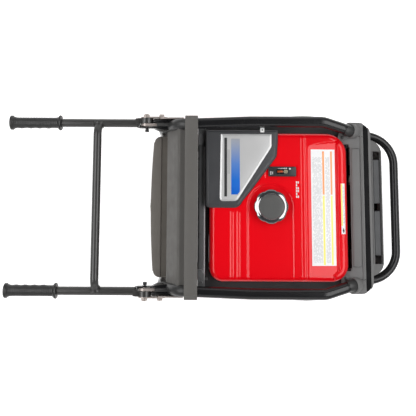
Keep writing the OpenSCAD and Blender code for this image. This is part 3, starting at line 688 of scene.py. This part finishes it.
def tank_labels():
    """Two stickers of generic grey lines, a mark on the small one, and painted marks by the cap."""
    orange, yellow = (0.95, 0.33, 0.08), (0.93, 0.82, 0.14)
    columns = [(0.3145, 0.3435, -0.163, 0.148), (0.3525, 0.3665, -0.163, 0.148)]
    strips = [((x0, x1, y0, y1), ink)
              for y0, y1, ink in ((0.036, 0.165, orange), (-0.169, 0.033, yellow))
              for x0, x1 in ((0.3442, 0.3500), (0.3685, 0.3738))]
    wide = label_material(columns, strips)
    form = Form()
    laid_sheet(form, 310, 382, -171.5, 170.5, columns=16)
    form.piece("label_wide", wide, "outlet_ivory")
    narrow = label_material([(0.4025, 0.4075, -0.05, 0.06)], [((0.3975, 0.4015, -0.055, 0.068), yellow)])
    laid_sheet(form, 397, 409, -79, 69)
    form.piece("label_narrow", narrow, "outlet_ivory")
    mark = [(403, -77), (406, -69), (403, -61), (400, -69)]
    foot = tank_height(403, -69)
    pad(form, mark, [(0, foot), (0, foot + 0.6)])
    form.piece("label_mark", "ink_black", "cap_dark")
    for x0, rows in ((264.5, (0, 1, 2, 3, 4, 5)), (269.5, (0, 2, 3, 5))):
        for k in rows:
            y = 75 - k * 8.4
            laid_sheet(form, x0, x0 + 3.6, y - 6.6, y, 0.3, 2, 3)
    form.piece("tank_marks", "ink_white", "outlet_ivory")


# ---- trim, plate, cap and gauge ----

TRIM_TOP, PLATE_TOP = 690.0, 692.0
TRIM_OUTLINE = ([(-3.2, 226), (212, 226), (212, 192)] + arc(176, 160, 33, 0, -32, 8) + [(134, 50)]
                + arc(80, 22, 26, -20, -90, 10) + [(16, -4)] + arc(8, 8, 11.2, -90, -180, 8))
PLATE_OUTLINE = ([(42, 214), (192, 214)] + arc(174, 182, 18, 0, -32, 8)
                 + arc(80, 32, 16, -32, -90, 8) + arc(48, 25, 9, -90, -180, 8))


def trim_cover():
    """Charcoal trim with its two turned-down sides, and the silver plate on it."""
    form = Form()
    pad(form, TRIM_OUTLINE, [(0, 682), (0, 684.5), (0.6, 685.6), (2.2, 686.6), (7.0, 689.2), (8.2, 689.7),
                             (9.6, TRIM_TOP)])
    for x0, x1, y0, y1, z0 in ((-3.2, 3.5, 8, 226, 660), (40, 212, 221, 226, 655)):
        side = rounded_rectangle(x0, x1, y0, y1, 2.2, 4)
        pad(form, side, [(1.2, z0), (0, z0 + 1.2), (0, 684.4)])
    form.piece("trim_cover", "trim_charcoal", stands_for=("tank_trim",))
    pad(form, PLATE_OUTLINE, [(0, TRIM_TOP), (0, TRIM_TOP + 0.2), (4.8, PLATE_TOP), (5.6, PLATE_TOP + 0.1)])
    form.piece("badge_plate", "plate_silver", stands_for=("trim_plate",), smooth_angle=12)


def plate_print():
    """Plain printed strips on the plate."""
    form = Form()
    pad(form, rounded_rectangle(52.2, 60, 29, 203, 1, 3), [(0, PLATE_TOP), (0, PLATE_TOP + 0.3)])
    form.piece("print_dark", "ink_black", "trim_charcoal")
    for x in (62.6, 66.2):
        form.block((x, 96, PLATE_TOP), (x + 0.9, 168, PLATE_TOP + 0.25))
    form.piece("print_pinstripes", "ink_grey", "trim_charcoal")
    stops = [(0.0, (0.0, 0.12, 0.62)), (0.25, (0.01, 0.16, 0.66)), (0.55, (0.10, 0.24, 0.62)),
             (1.0, (0.40, 0.42, 0.46))]
    blue = fade_material("Y", 0.034, 0.2, stops)
    pad(form, [(72.5, 200), (98, 200), (98, 44), (91, 35), (72.5, 35)],
        [(0, PLATE_TOP), (0, PLATE_TOP + 0.3)])
    form.piece("print_blue", blue, "plate_silver")


CAP_RADIUS, CAP_CONE_RADIUS, CAP_LOBE_DEPTH = 50.4, 38.5, 3.6


def cap_shape(radius, height, turn):
    """Eight finger lobes cut the outside of the cap; its sloped top stays a plain cone."""
    lobes = abs(math.cos(4 * turn)) ** 0.7
    return min(radius, CAP_RADIUS - CAP_LOBE_DEPTH * (1 - lobes)) if radius > CAP_CONE_RADIUS else radius


def cap_cover():
    """The lobed cap and the matt disc on top of it."""
    form = Form()
    profile = [(37.6, 699.9), (37.6, 688.2), (46.2, 688), (49.4, 688.6), (CAP_RADIUS, 690.4),
               (CAP_RADIUS, 699.2), (49.6, 700.6), (47.4, 701.9), (45, 703.1), (42.5, 704), (40, 704.9),
               (37.6, 705.7), (36.8, 706.4), (36.4, 711)]
    lathe(form, profile, (FILLER_X, FILLER_Y, 0), steps=160, shape=cap_shape)
    form.piece("cap_lobes", "cap_dark", body="cap_shell", stands_for=("fuel_cap",), smooth_angle=55)
    lathe(form, [(36, 706), (36, 712.4), (35.4, 713.3), (33.8, 713.9), (20, 714), (1, 714)],
          (FILLER_X, FILLER_Y, 0), steps=96)
    form.piece("cap_top", "cap_top", "cap_dark", body="cap_shell")


GAUGE_X, GAUGE_Y, GAUGE_TOP = 224.0, 103.6, 687.0


def gauge_parts():
    """Gauge housing with an open window, its scale, generic marks and the pointer's flag."""
    x, y, top = GAUGE_X, GAUGE_Y, GAUGE_TOP
    form = Form()
    outer = rounded_rectangle(x - 41, x + 41, y - 14.5, y + 14.5, 3, 12)
    window = rounded_rectangle(206, 241, 97.2, 110, 5.5, 12)
    levels = [(outer, 0, 682), (outer, 0, top - 1), (outer, 0.5, top - 0.3), (outer, 1.2, top),
              (window, -0.6, top), (window, 0, top - 0.6), (window, 0, 683.4)]
    form.loft([[(u, v, height) for u, v in inset(outline, shrink)] for outline, shrink, height in levels])
    form.piece("gauge_housing", "gauge_black", stands_for=("fuel_gauge",))
    pad(form, rounded_rectangle(229, 240, 98, 109.2, 3), [(0, 683.2), (0, 683.6)])
    form.piece("gauge_scale", "scale_cream", "outlet_ivory")
    for k in range(6):
        form.block((x - 13 + k * 4.6, y + 8.2, top), (x - 9.6 + k * 4.6, y + 9.2 + 0.4 * k, top + 0.2))
    lathe(form, [(2.6, top), (2.6, top + 0.2), (0.4, top + 0.2)], (x + 22.5, y + 8.2, 0), steps=20)
    for dy in (-8, -2.5):
        form.block((x - 36, y + dy, top), (x - 27, y + dy + 1.4, top + 0.2))
        form.block((x - 36, y + dy - 1.6, top), (x - 34.4, y + dy + 3, top + 0.2))
    form.block((x - 29.6, y - 8, top), (x - 28, y - 1, top + 0.2))
    form.piece("gauge_marks", "ink_white", "gauge_black")
    flag = [(209, y - 3.4), (224.5, y - 2.7), (225.5, y - 1.6),
            (225.5, y + 1.6), (224.5, y + 2.7), (209, y + 3.4)]
    pad(form, flag, [(0, 684.5), (0, 685.0), (0.4, 685.2)])
    form.piece("needle_flag", "needle_orange", body=nodes["gauge_needle"]["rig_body"])


# ---- handles ----

ARM_Y, ARM_Z = 252.0, 640.0
CROSSBAR_X, CARRIER_Y, COLLAR_Y = -329.0, 256.8, 257.0
GRIP_END, GRIP_LENGTH, GRIP_RADIUS = -599.0, 155.0, 15.6
FLANGE, RING_PITCH, FINGER_START, FINGER_END, FINGER_PITCH = 7.0, 5.0, 20.0, 128.0, 27.0


def grip_radius(x, turn, side):
    """Flanges at both ends, fine rings between them and four finger hollows on the inner side."""
    far = x - GRIP_END
    if far < 1:
        return 20.5
    if far < FLANGE:
        return 22.0
    near_end = GRIP_LENGTH - FLANGE
    if far > near_end:
        return 24.0 - 2.2 * abs(far - (GRIP_LENGTH - FLANGE / 2)) / (FLANGE / 2)
    flare = 5.4 * math.exp(-((far - FLANGE) / 5.0)) + 6.5 * math.exp(-((near_end - far) / 2.2))
    rings = 0.8 * abs(math.sin(math.pi * far / RING_PITCH))
    fingers = 0
    if FINGER_START < far < FINGER_END:
        wave = 0.5 - 0.5 * math.cos(2 * math.pi * (far - FINGER_START) / FINGER_PITCH)
        fingers = 1.5 * max(0.0, -side * math.cos(turn)) * wave
    return min(21.6, GRIP_RADIUS + rings + flare + fingers)


def grips():
    """The two rubber grips, ring by ring along each arm."""
    form = Form()
    for side in (-1, 1):
        stations = [0, 1, 3, 6.9] + [7.1 + 1.25 * i for i in range(113)] + [148.1, 150, 152, 154, 155]
        rings = []
        for x in (GRIP_END + far for far in stations):
            circle = [(grip_radius(x, turn, side), turn) for turn in turns(44)]
            rings.append([(x, side * ARM_Y + r * math.cos(turn), ARM_Z + r * math.sin(turn))
                          for r, turn in circle])
        form.loft(rings)
    form.piece("grip_rubbers", "grip_rubber", slot_of["handle_grips"], body="handle",
               stands_for=("handle_grips",), smooth_angle=40)


def handle_details():
    """Weld fillets where the crossbar meets the arms, and a collar at each arm's block."""
    form = Form()
    for side in (-1, 1):
        start = Vector((CROSSBAR_X, side * ARM_Y, ARM_Z))
        way = Vector((0, -side * 30, 25)).normalized()
        across = Vector((1, 0, 0))
        up = way.cross(across)
        rings = []
        for reach, radius in ((6, 17.5), (9.5, 17.2), (12, 15.8), (14.5, 14.2), (17, 13.2), (19, 12.3)):
            ring = []
            for turn in turns(32):
                ripple = 0.25 * math.sin(9 * turn) if reach < 17 else 0
                offset = across * math.cos(turn) + up * math.sin(turn)
                ring.append(tuple(start + way * reach + offset * (radius + ripple)))
            rings.append(ring)
        form.loft(rings)
    form.piece("crossbar_welds", "handle_black", body="handle")
    for side in (-1, 1):
        middle = side * COLLAR_Y
        section = rounded_rectangle(middle - 9.3, middle + 9.3, ARM_Z - 14.5, ARM_Z + 14.5, 5)
        pad(form, section, [(1.5, -217), (0, -215.5), (0, -205), (1.5, -203.5)], lambda u, v, w: (w, u, v))
    form.piece("arm_collars", "handle_black", body="handle")


def hinge_carriers():
    """Black bars that hold the hinge plates to the frame tubes."""
    form = Form()
    for side in (-1, 1):
        rings = []
        for x, grow in ((-162.2, -2.5), (-161, -0.8), (-158, 0), (-120, 0), (-90, -0.5), (-66, -1)):
            section = oval(CARRIER_Y, ARM_Z + 2, 8.6 + grow, 15 + grow, 28)
            rings.append([(x, side * y, z) for y, z in section])
        form.loft(rings)
    form.piece("hinge_carriers", "frame_black")


# ---- front mouldings ----

HOUSING_HALF = 221.0
SLEEVE_RADIUS, TUBE_BEND_RADIUS = 16.9, 50.0
STRIP_TOP = 664.0


def housing_lip():
    """Bowed cap on the control housing, and a darker sheet behind it, painted shade for the groove."""
    half = HOUSING_HALF
    corner = arc(-145, half - 20, 19, 90, 158, 6)
    bow = [(-174.4 + 0.00019 * y * y, y) for y in range(200, -201, -20)]
    outline = [(-141, half - 1)] + corner + bow + mirrored(corner, -1)[::-1] + [(-141, 1 - half)]
    form = Form()
    pad(form, outline, [(4, 541), (0, 546), (0, 561.2), (1.4, 562.7), (3.5, 563.2)])
    form.piece("housing_lip", "housing_grey")
    # A thin darker sheet painted as the groove's shade
    pad(form, rounded_rectangle(-140, -119, 4 - half, half - 4, 3), [(0, 559.6), (0, 560.4)])
    form.piece("housing_groove_shade", "painted_shade_brown", "housing_grey")


def leg_sleeves():
    """Dull sleeves over the front bend of the frame tubes, and webs to the hinge plates."""
    form = Form()
    # The middle line of the tube: up the leg, then round the bend towards the rear
    low = Vector((-136, 243, 560))
    high = Vector((-84, 242, 700))
    way = (high - low).normalized()
    flat = Vector((1, 0, 0))
    reach = TUBE_BEND_RADIUS * math.tan(way.angle(flat) / 2)
    spine = [(low + way * d, way) for d in (34, 60, 90)]
    start = high - way * reach
    for part in (k / 6 for k in range(7)):
        a = start.lerp(high, part)
        b = high.lerp(high + flat * reach, part)
        spine.append((a.lerp(b, part), (b - a).normalized()))
    for side in (-1, 1):
        rings = []
        for point, direction in spine:
            up = direction.cross(Vector((0, 1, 0))).normalized()
            ring = []
            for turn in turns(28):
                p = point + (Vector((0, 1, 0)) * math.cos(turn) + up * math.sin(turn)) * SLEEVE_RADIUS
                ring.append((p.x, side * p.y, p.z))
            rings.append(ring)
        form.loft(rings)
        web = mirrored([(-166, 249.6), (-166, 240), (-148, 232), (-70, 230), (-70, 249.6)], side)
        pad(form, web, [(3, 596), (0, 600), (0, 648), (1, 650), (3, 651)])
        bar = mirrored([(-151, 250.4), (-151, 240.6), (-70, 238), (-70, 250.4)], side)
        pad(form, bar, [(0, 640), (0, 667), (1, 668.4), (3, 669)])
        tab = [(-206, 240), (-206, 247), (-199.5, 247), (-199.5, 241.6), (-188, 241.6), (-188, 238.5)]
        pad(form, mirrored(tab, side), [(0, 633), (0, 645), (0.4, 645.4)])
    form.piece("leg_sleeves", "grip_rubber")


def strip_bead():
    """Bead along the black strip, coloured light grey as a painted highlight, and a plate with a bolt at
    each of its ends.
    """
    form = Form()
    # The bead's light grey is a painted highlight along the strip
    rod(form, -6.6, STRIP_TOP + 0.8, 3.2, 20, (-205, 178))
    form.piece("strip_bead", "painted_highlight_grey", "strip_black")
    for side in (-1, 1):
        outline = mirrored([(-25, 184), (-14, 184), (-4, 200), (-3, 235), (-25, 235)], side)
        pad(form, outline, [(0, STRIP_TOP), (0, 669.4), (1.2, 670.6), (2, 670.8)])
        screw_head(form, (-14, side * 222, 670.6), "Z", 4.5, 2.6)
    screw_head(form, (1, -214, 648), "Z", 4.5, 2.6)
    form.piece("strip_ends", "strip_black")


def tank_tag():
    """A small white clip over the edge of the trim."""
    form = Form()
    pad(form, rounded_rectangle(159, 171, 219.6, 233.2, 1.5), [(0, 689.6), (0, 691.4), (0.8, 692)])
    form.block((161, 227.2, 648.2), (169, 229.6, 690.4))
    form.piece("trim_clip", "white_plastic", "outlet_ivory")
    pad(form, rounded_rectangle(163, 167, 223.8, 229.4, 0.8), [(0, 691.9), (0, 692.3)])
    form.piece("trim_clip_mark", "ink_grey", "cap_dark")


# ---- rear mouldings ----

REAR_TUBE_Y = 228.0
BEND_X, BEND_Z, BEND_RADIUS = 406.0, 640.0, 42.0
COVER_BACK = 548.0
SHELL_TOP, SHELL_CORNER_Y = 662.0, 200.0
BOSSES = ((409, 208), (412, -209))


def lowered_hood(point):
    """Flattens the raised corner of the shell, which the cowl then covers."""
    top = SHELL_TOP * MM
    if point.z > top + 0.3 * MM and abs(point.y) > SHELL_CORNER_Y * MM:
        return Vector((point.x, point.y, top + (point.z - top) * 0.04))
    return point


def cowl_ring(turn, half_width, half_height, side):
    """A ring round the tube, square to its bend."""
    t = math.radians(turn)
    ring = []
    for a in turns(36):
        reach = BEND_RADIUS + half_height * math.sin(a)
        y = side * REAR_TUBE_Y + half_width * math.cos(a)
        ring.append((BEND_X + reach * math.sin(t), y, BEND_Z + reach * math.cos(t)))
    return ring


def rear_corners():
    """Hoods over the rear bends with their corners, ridges and sleeves, and the exhaust cover's beads."""
    form = Form()
    for side in (-1, 1):
        lip = [(80, 17.5, 17.2), (50, 17.5, 17.2), (38, 18, 17.8), (34, 19, 18.4), (34.5, 21, 19.6),
               (37, 22.2, 20.4)]
        hood = [(turn, 22.6, 20.8) for turn in range(42, 100, 6)]
        form.loft([cowl_ring(turn, wide, tall, side) for turn, wide, tall in lip + hood])
        corner = [(428.5, 214.4), (471.5, 214.4)] + arc(458, 218, 35.5, 67, 90, 4) + [(428.5, 253.5)]
        pad(form, mirrored(corner, side), [(0, 655), (0, 663.4), (1.2, 664.6), (3, 665)])
    pad(form, rounded_rectangle(434, 461, -177, 177, 6.2),
        [(0, 661), (0, 662.2), (1.6, 664.6), (3.6, 665.2), (6, 665.4)])
    ridge = arc(464.4, 662, 2.6, 0, 180)
    form.loft([[(x, y, z) for x, z in ridge] for y in (-213, 213)])
    form.piece("rear_cowls", "shell_grey", smooth_angle=40)
    for side in (-1, 1):
        form.loft([cowl_ring(turn, wide, wide, side) for turn, wide in
                   ((4, 16.4), (6, 17.2), (14, 17.6), (30, 17.6), (39, 17.4))])
        form.block((430, side * 211.6 - 1, 661.6), (470, side * 211.6 + 1, 662.3))
    form.piece("rear_sleeves", "grip_rubber")
    for x, z, radius in ((509.6, 613.2, 2.6), (540.2, 605.6, 2.8)):
        rod(form, x, z, radius, 14, (-172, 172))
    form.piece("louvre_beads", "shell_grey", smooth_angle=40)


def rear_bosses():
    """Ringed boss and screw in each lug, the exhaust cover's screws and outlet, and near-black sheets of
    painted shade in a gap behind the tank and inside the exhaust cover.
    """
    form = Form()
    for x, y in BOSSES:
        lathe(form, [(13.5, 660), (13.5, 663), (12.6, 664.3), (11, 664.3), (10.4, 662.9), (9, 662.9),
                     (8.4, 664), (6.2, 664), (6, 662.5), (0.2, 662.5)], (x, y, 0), steps=40)
    form.piece("screw_bosses", "shell_grey")
    for x, y in BOSSES:
        screw_head(form, (x, y, 662.4), "Z", 5.6, 3.6)
        lathe(form, [(3, -8), (3, 0.4), (0.5, 0.4)], (x, y, 662), steps=16)
    form.piece("boss_screws", "screw_black", "zinc", stands_for=("cover_screws",))
    for side in (-1, 1):
        for z in (180, 545):
            screw_head(form, (COVER_BACK - 0.2, side * 150, z), "X", 6, 3.4)
    form.piece("cover_rear_screws", "zinc")
    lathe(form, [(44, -3), (43.4, 1.5), (44.6, 3.6), (47, 4.2), (50.5, 3.4), (52, 1.2), (52, -3)],
          (COVER_BACK, 96, 330), "X", 48, closed=True)
    form.piece("exhaust_ring", "muffler_steel")
    # Near-black sheets as painted shade: one in the gap behind the tank, two inside the exhaust cover
    form.block((423.5, -181, 636), (431.8, 178, 642))
    form.block((541.4, -156, 184), (543.4, 46, 540))
    form.block((541.4, 46, 184), (543.4, 156, 266))
    form.piece("shade_liners", "painted_shade_black", "seal_black")


def louvre_covers():
    """Dark plates on top of the exhaust cover."""
    form = Form()
    for side in (-1, 1):
        outline = rounded_rectangle(515, 535, *sorted((side * 11, side * 147)), 3)
        pad(form, outline, [(0, 574), (0, 605.5), (0.8, 607), (2.6, 607.8)])
    form.piece("louvre_covers", "louvre_dark", stands_for=("louvre_plates",), smooth_angle=12)


# ---- wheels ----

WHEEL_X, WHEEL_Y, WHEEL_Z = 370.0, 308.0, 122.0
TREAD_BLOCKS, TREAD_DEPTH = 36, 3.4
RIM_BOLTS, BOLT_CIRCLE = 6, 46.0


def tread_cut(radius, height, turn):
    """Cross grooves in the shoulders, slanted the same way on both sides."""
    if radius < 110 or abs(height) < 9:
        return radius
    phase = (turn * TREAD_BLOCKS / (2 * math.pi) + abs(height) / 26) % 1
    return radius - TREAD_DEPTH * smooth_step(phase, 0.0, 0.08) * (1 - smooth_step(phase, 0.26, 0.34))


def tyres():
    """Each wheel's tyre, and the bolts round its rim."""
    half = [(78, 24), (84, 27), (87, 31.5), (90, 33.4), (97, 34), (98.5, 33.2), (100, 34), (106, 33.6),
            (112, 31.2), (116.5, 27.4), (119.6, 22), (121.2, 16), (121.8, 10), (121.9, 7.4), (118.4, 6.8),
            (118.4, 4.4), (122, 3.8), (122, 0.6)]
    profile = half + [(r, -h) for r, h in reversed(half)]
    for side, name in ((1, "left"), (-1, "right")):
        form = Form()
        lathe(form, profile, (WHEEL_X, side * WHEEL_Y, WHEEL_Z), "Y", 216, tread_cut, closed=True)
        form.piece("tyre_tread_" + name, "tyre_rubber", body="wheel_" + name,
                   stands_for=("tyre_" + name,), smooth_angle=30)
        for x, z in arc(WHEEL_X, WHEEL_Z, BOLT_CIRCLE, 30, 330, RIM_BOLTS - 1):
            screw_head(form, (x, side * (WHEEL_Y + 4), z), "Y", 5, 3.5, side)
        form.piece("rim_bolts_" + name, "zinc", body="wheel_" + name)


# ---- side panels and door ----

VENTS, VENT_FOOT, VENT_PITCH = 10, 190, 30
VENT_X0, VENT_X1 = 88.0, 332.0


def on_side(side):
    """Lays a pad on a side panel: along, up and outward."""
    return lambda u, v, w: (u, side * w, v)


def side_details():
    """Vent hoods, pressed beads and screws of the side panels, and the door's raised field."""
    form = Form()
    for i in range(VENTS):
        z = VENT_FOOT + VENT_PITCH * i
        section = [(226.5, z + 17), (229.5, z + 16), (232, z + 12), (233.2, z + 6), (233.2, z + 2),
                   (232, z + 2), (231.4, z + 6), (230.2, z + 11), (228.4, z + 14.2), (226.5, z + 15)]
        form.loft([[(x, -y, h) for y, h in section] for x in (VENT_X0, VENT_X1)])
        for x in (VENT_X0, VENT_X1 - 1.4):
            form.loft([[(u, -y, h) for y, h in section[:5] + [(226.5, z + 2)]] for u in (x, x + 1.4)])
    form.piece("vent_hoods", "side_red", smooth_angle=40)
    for side in (-1, 1):
        for z, x1 in ((132, 330), (545, 396)):
            bead = rounded_rectangle(-36, x1, z - 5, z + 5, 4.9)
            pad(form, bead, [(0, 226.6), (0.6, 228), (2, 229.2), (3.6, 229.7)], on_side(side))
    for z in (200, 210, 220):
        bead = rounded_rectangle(70, 235, z - 3, z + 3, 2.9)
        pad(form, bead, [(0, 226.6), (0.5, 227.8), (1.6, 228.5)], on_side(1))
    form.piece("side_beads", "side_red", smooth_angle=50)
    for side in (-1, 1):
        for x, z in ((-50, 126), (-50, 340), (-50, 556), (190, 560), (412, 556), (412, 340), (190, 120)):
            screw_head(form, (x, side * 227, z), "Y", 6, 3, side)
    form.piece("side_screws", "zinc")
    pad(form, rounded_rectangle(84, 280, 276, 480, 12), [(0, 226.8), (0, 227.2), (2.2, 228.8), (5, 229.2)],
        on_side(1))
    form.piece("door_emboss", "side_red", body="door")


# ---- control panel ----

PANEL_FACE = -144.0
DIAL_Y, DIAL_Z = 135.0, 360.0
OUTLET_LINES = (-35, -125)
DISPLAY_DEPTHS = (PANEL_FACE - 5.4, PANEL_FACE - 4.8)


def stroke(form, a, b, width):
    """A straight printed line on the panel, from one place in Y and Z to another."""
    (ya, za), (yb, zb) = a, b
    along = Vector((yb - ya, zb - za)).normalized() * width / 2
    side = Vector((-along.y, along.x))
    corners = [(ya + side.x, za + side.y), (ya - side.x, za - side.y),
               (yb - side.x, zb - side.y), (yb + side.x, zb + side.y)]
    form.loft([[(x, y, z) for y, z in corners] for x in (PANEL_FACE - 0.3, PANEL_FACE + 0.5)])


def framed(form, y0, y1, z0, z1):
    """Four printed lines round a device."""
    corners = [(y0, z0), (y1, z0), (y1, z1), (y0, z1)]
    for i, corner in enumerate(corners):
        stroke(form, corner, corners[(i + 1) % 4], 1.0)


def panel_details():
    """Prints, screws, lamps, display bars and receptacle rings of the control panel."""
    form = Form()
    dial = zip(arc(DIAL_Y, DIAL_Z, 27, 10, 170), arc(DIAL_Y, DIAL_Z, 30, 10, 170),
               arc(DIAL_Y, DIAL_Z, 32, 10, 170))
    for k, (inner, short, long) in enumerate(dial):
        stroke(form, inner, long if k % 4 == 0 else short, 1.6)
    for y0, y1, z0, z1 in ((42, 82, 330, 390), (-182, 12, 350, 490), (-182, 12, 242, 325)):
        framed(form, y0, y1, z0, z1)
    for y in range(50, 79, 7):
        stroke(form, (y, 402), (y, 402 + (y - 46) * 0.25), 3)
    form.piece("panel_prints", "ink_white", "outlet_ivory")
    for y in (-182, 0, 182):
        for z in (240, 498):
            screw_head(form, (PANEL_FACE, y, z), "X", 4.2, 2.4, -1)
    for y in OUTLET_LINES:
        screw_head(form, (PANEL_FACE - 6, y, 395), "X", 3.4, 1.6, -1)
    form.piece("panel_screws", "zinc")
    for name, y in (("green", 150), ("red", 130)):
        lathe(form, [(5, 0), (5, -2), (4.2, -4), (2.4, -5.2), (0.3, -5.6)], (PANEL_FACE, y, 412), "X", 24)
        form.piece("lamp_" + name, "lamp_" + name, "display_glass")
    near, far = DISPLAY_DEPTHS
    for k in range(6):
        form.block((near, 62 + k * 9, 446), (far, 68 + k * 9, 452 + 3.4 * k))
    form.block((near, 62, 440), (far, 148, 441.2))
    form.piece("display_bars", "lamp_green", "display_glass")
    for y in OUTLET_LINES:
        lathe(form, [(31, 0), (31, -9), (29.6, -10.4), (28, -10.4), (27.2, -8), (27.2, 0)],
              (PANEL_FACE, y, 285), "X", 48)
        lathe(form, [(9, -6), (9, -9), (8, -10), (0.4, -10)], (PANEL_FACE, y, 285), "X", 32)
    form.piece("locking_rings", "outlet_black")


# ---- CAD nodes that show as they are, and the whole scene ----


def dress_nodes():
    """Gives each CAD node that still shows the finish of its slot."""
    for name, node in nodes.items():
        if node.hide_render:
            continue
        material = finishes[slot_of[name]]
        if not node.data.materials:
            node.data.materials.append(material)
        for i in range(len(node.data.materials)):
            node.data.materials[i] = material


make_camera()
make_lights()
make_world()
make_floor()
bpy.context.scene.view_settings.view_transform = "Standard"
finishes = {**slot_finishes(), **detail_finishes()}
for name, material in finishes.items():
    material.name = "look_" + name
tank_shell()
tank_labels()
trim_cover()
plate_print()
cap_cover()
gauge_parts()
grips()
handle_details()
hinge_carriers()
leg_sleeves()
housing_lip()
strip_bead()
tank_tag()
softened("rear_shell", 2.0, adjust=lowered_hood)
rear_corners()
rear_bosses()
louvre_covers()
tyres()
side_details()
panel_details()

# How wide each node's sharp edges are rounded, in millimetres
SOFT_EDGES = {
    "top_beam": 2.5, "front_hood": 2.0, "front_housing": 4.0, "front_strip": 1.5, "tank_shroud": 1.5,
    "rear_seal": 1.5, "rim_left": 1.5, "rim_right": 1.5, "hinge_bracket_left": 1.2,
    "hinge_bracket_right": 1.2, "lock_pin_left": 1.2, "lock_pin_right": 1.2, "control_panel": 1.0,
    "display": 1.5, "duplex_receptacles": 1.0, "engine_switch": 1.0, "eco_switch": 1.0,
    "breaker_button_left": 1.0, "breaker_button_right": 1.0, "side_panel_left": 1.0,
    "side_panel_right": 1.0, "maintenance_door": 1.2,
    "door_latch": 1.2, "front_feet": 2.5, "engine_block": 3.0, "cylinder_head": 1.0, "battery": 3.0}
for node, width in SOFT_EDGES.items():
    softened(node, width)
dress_nodes()
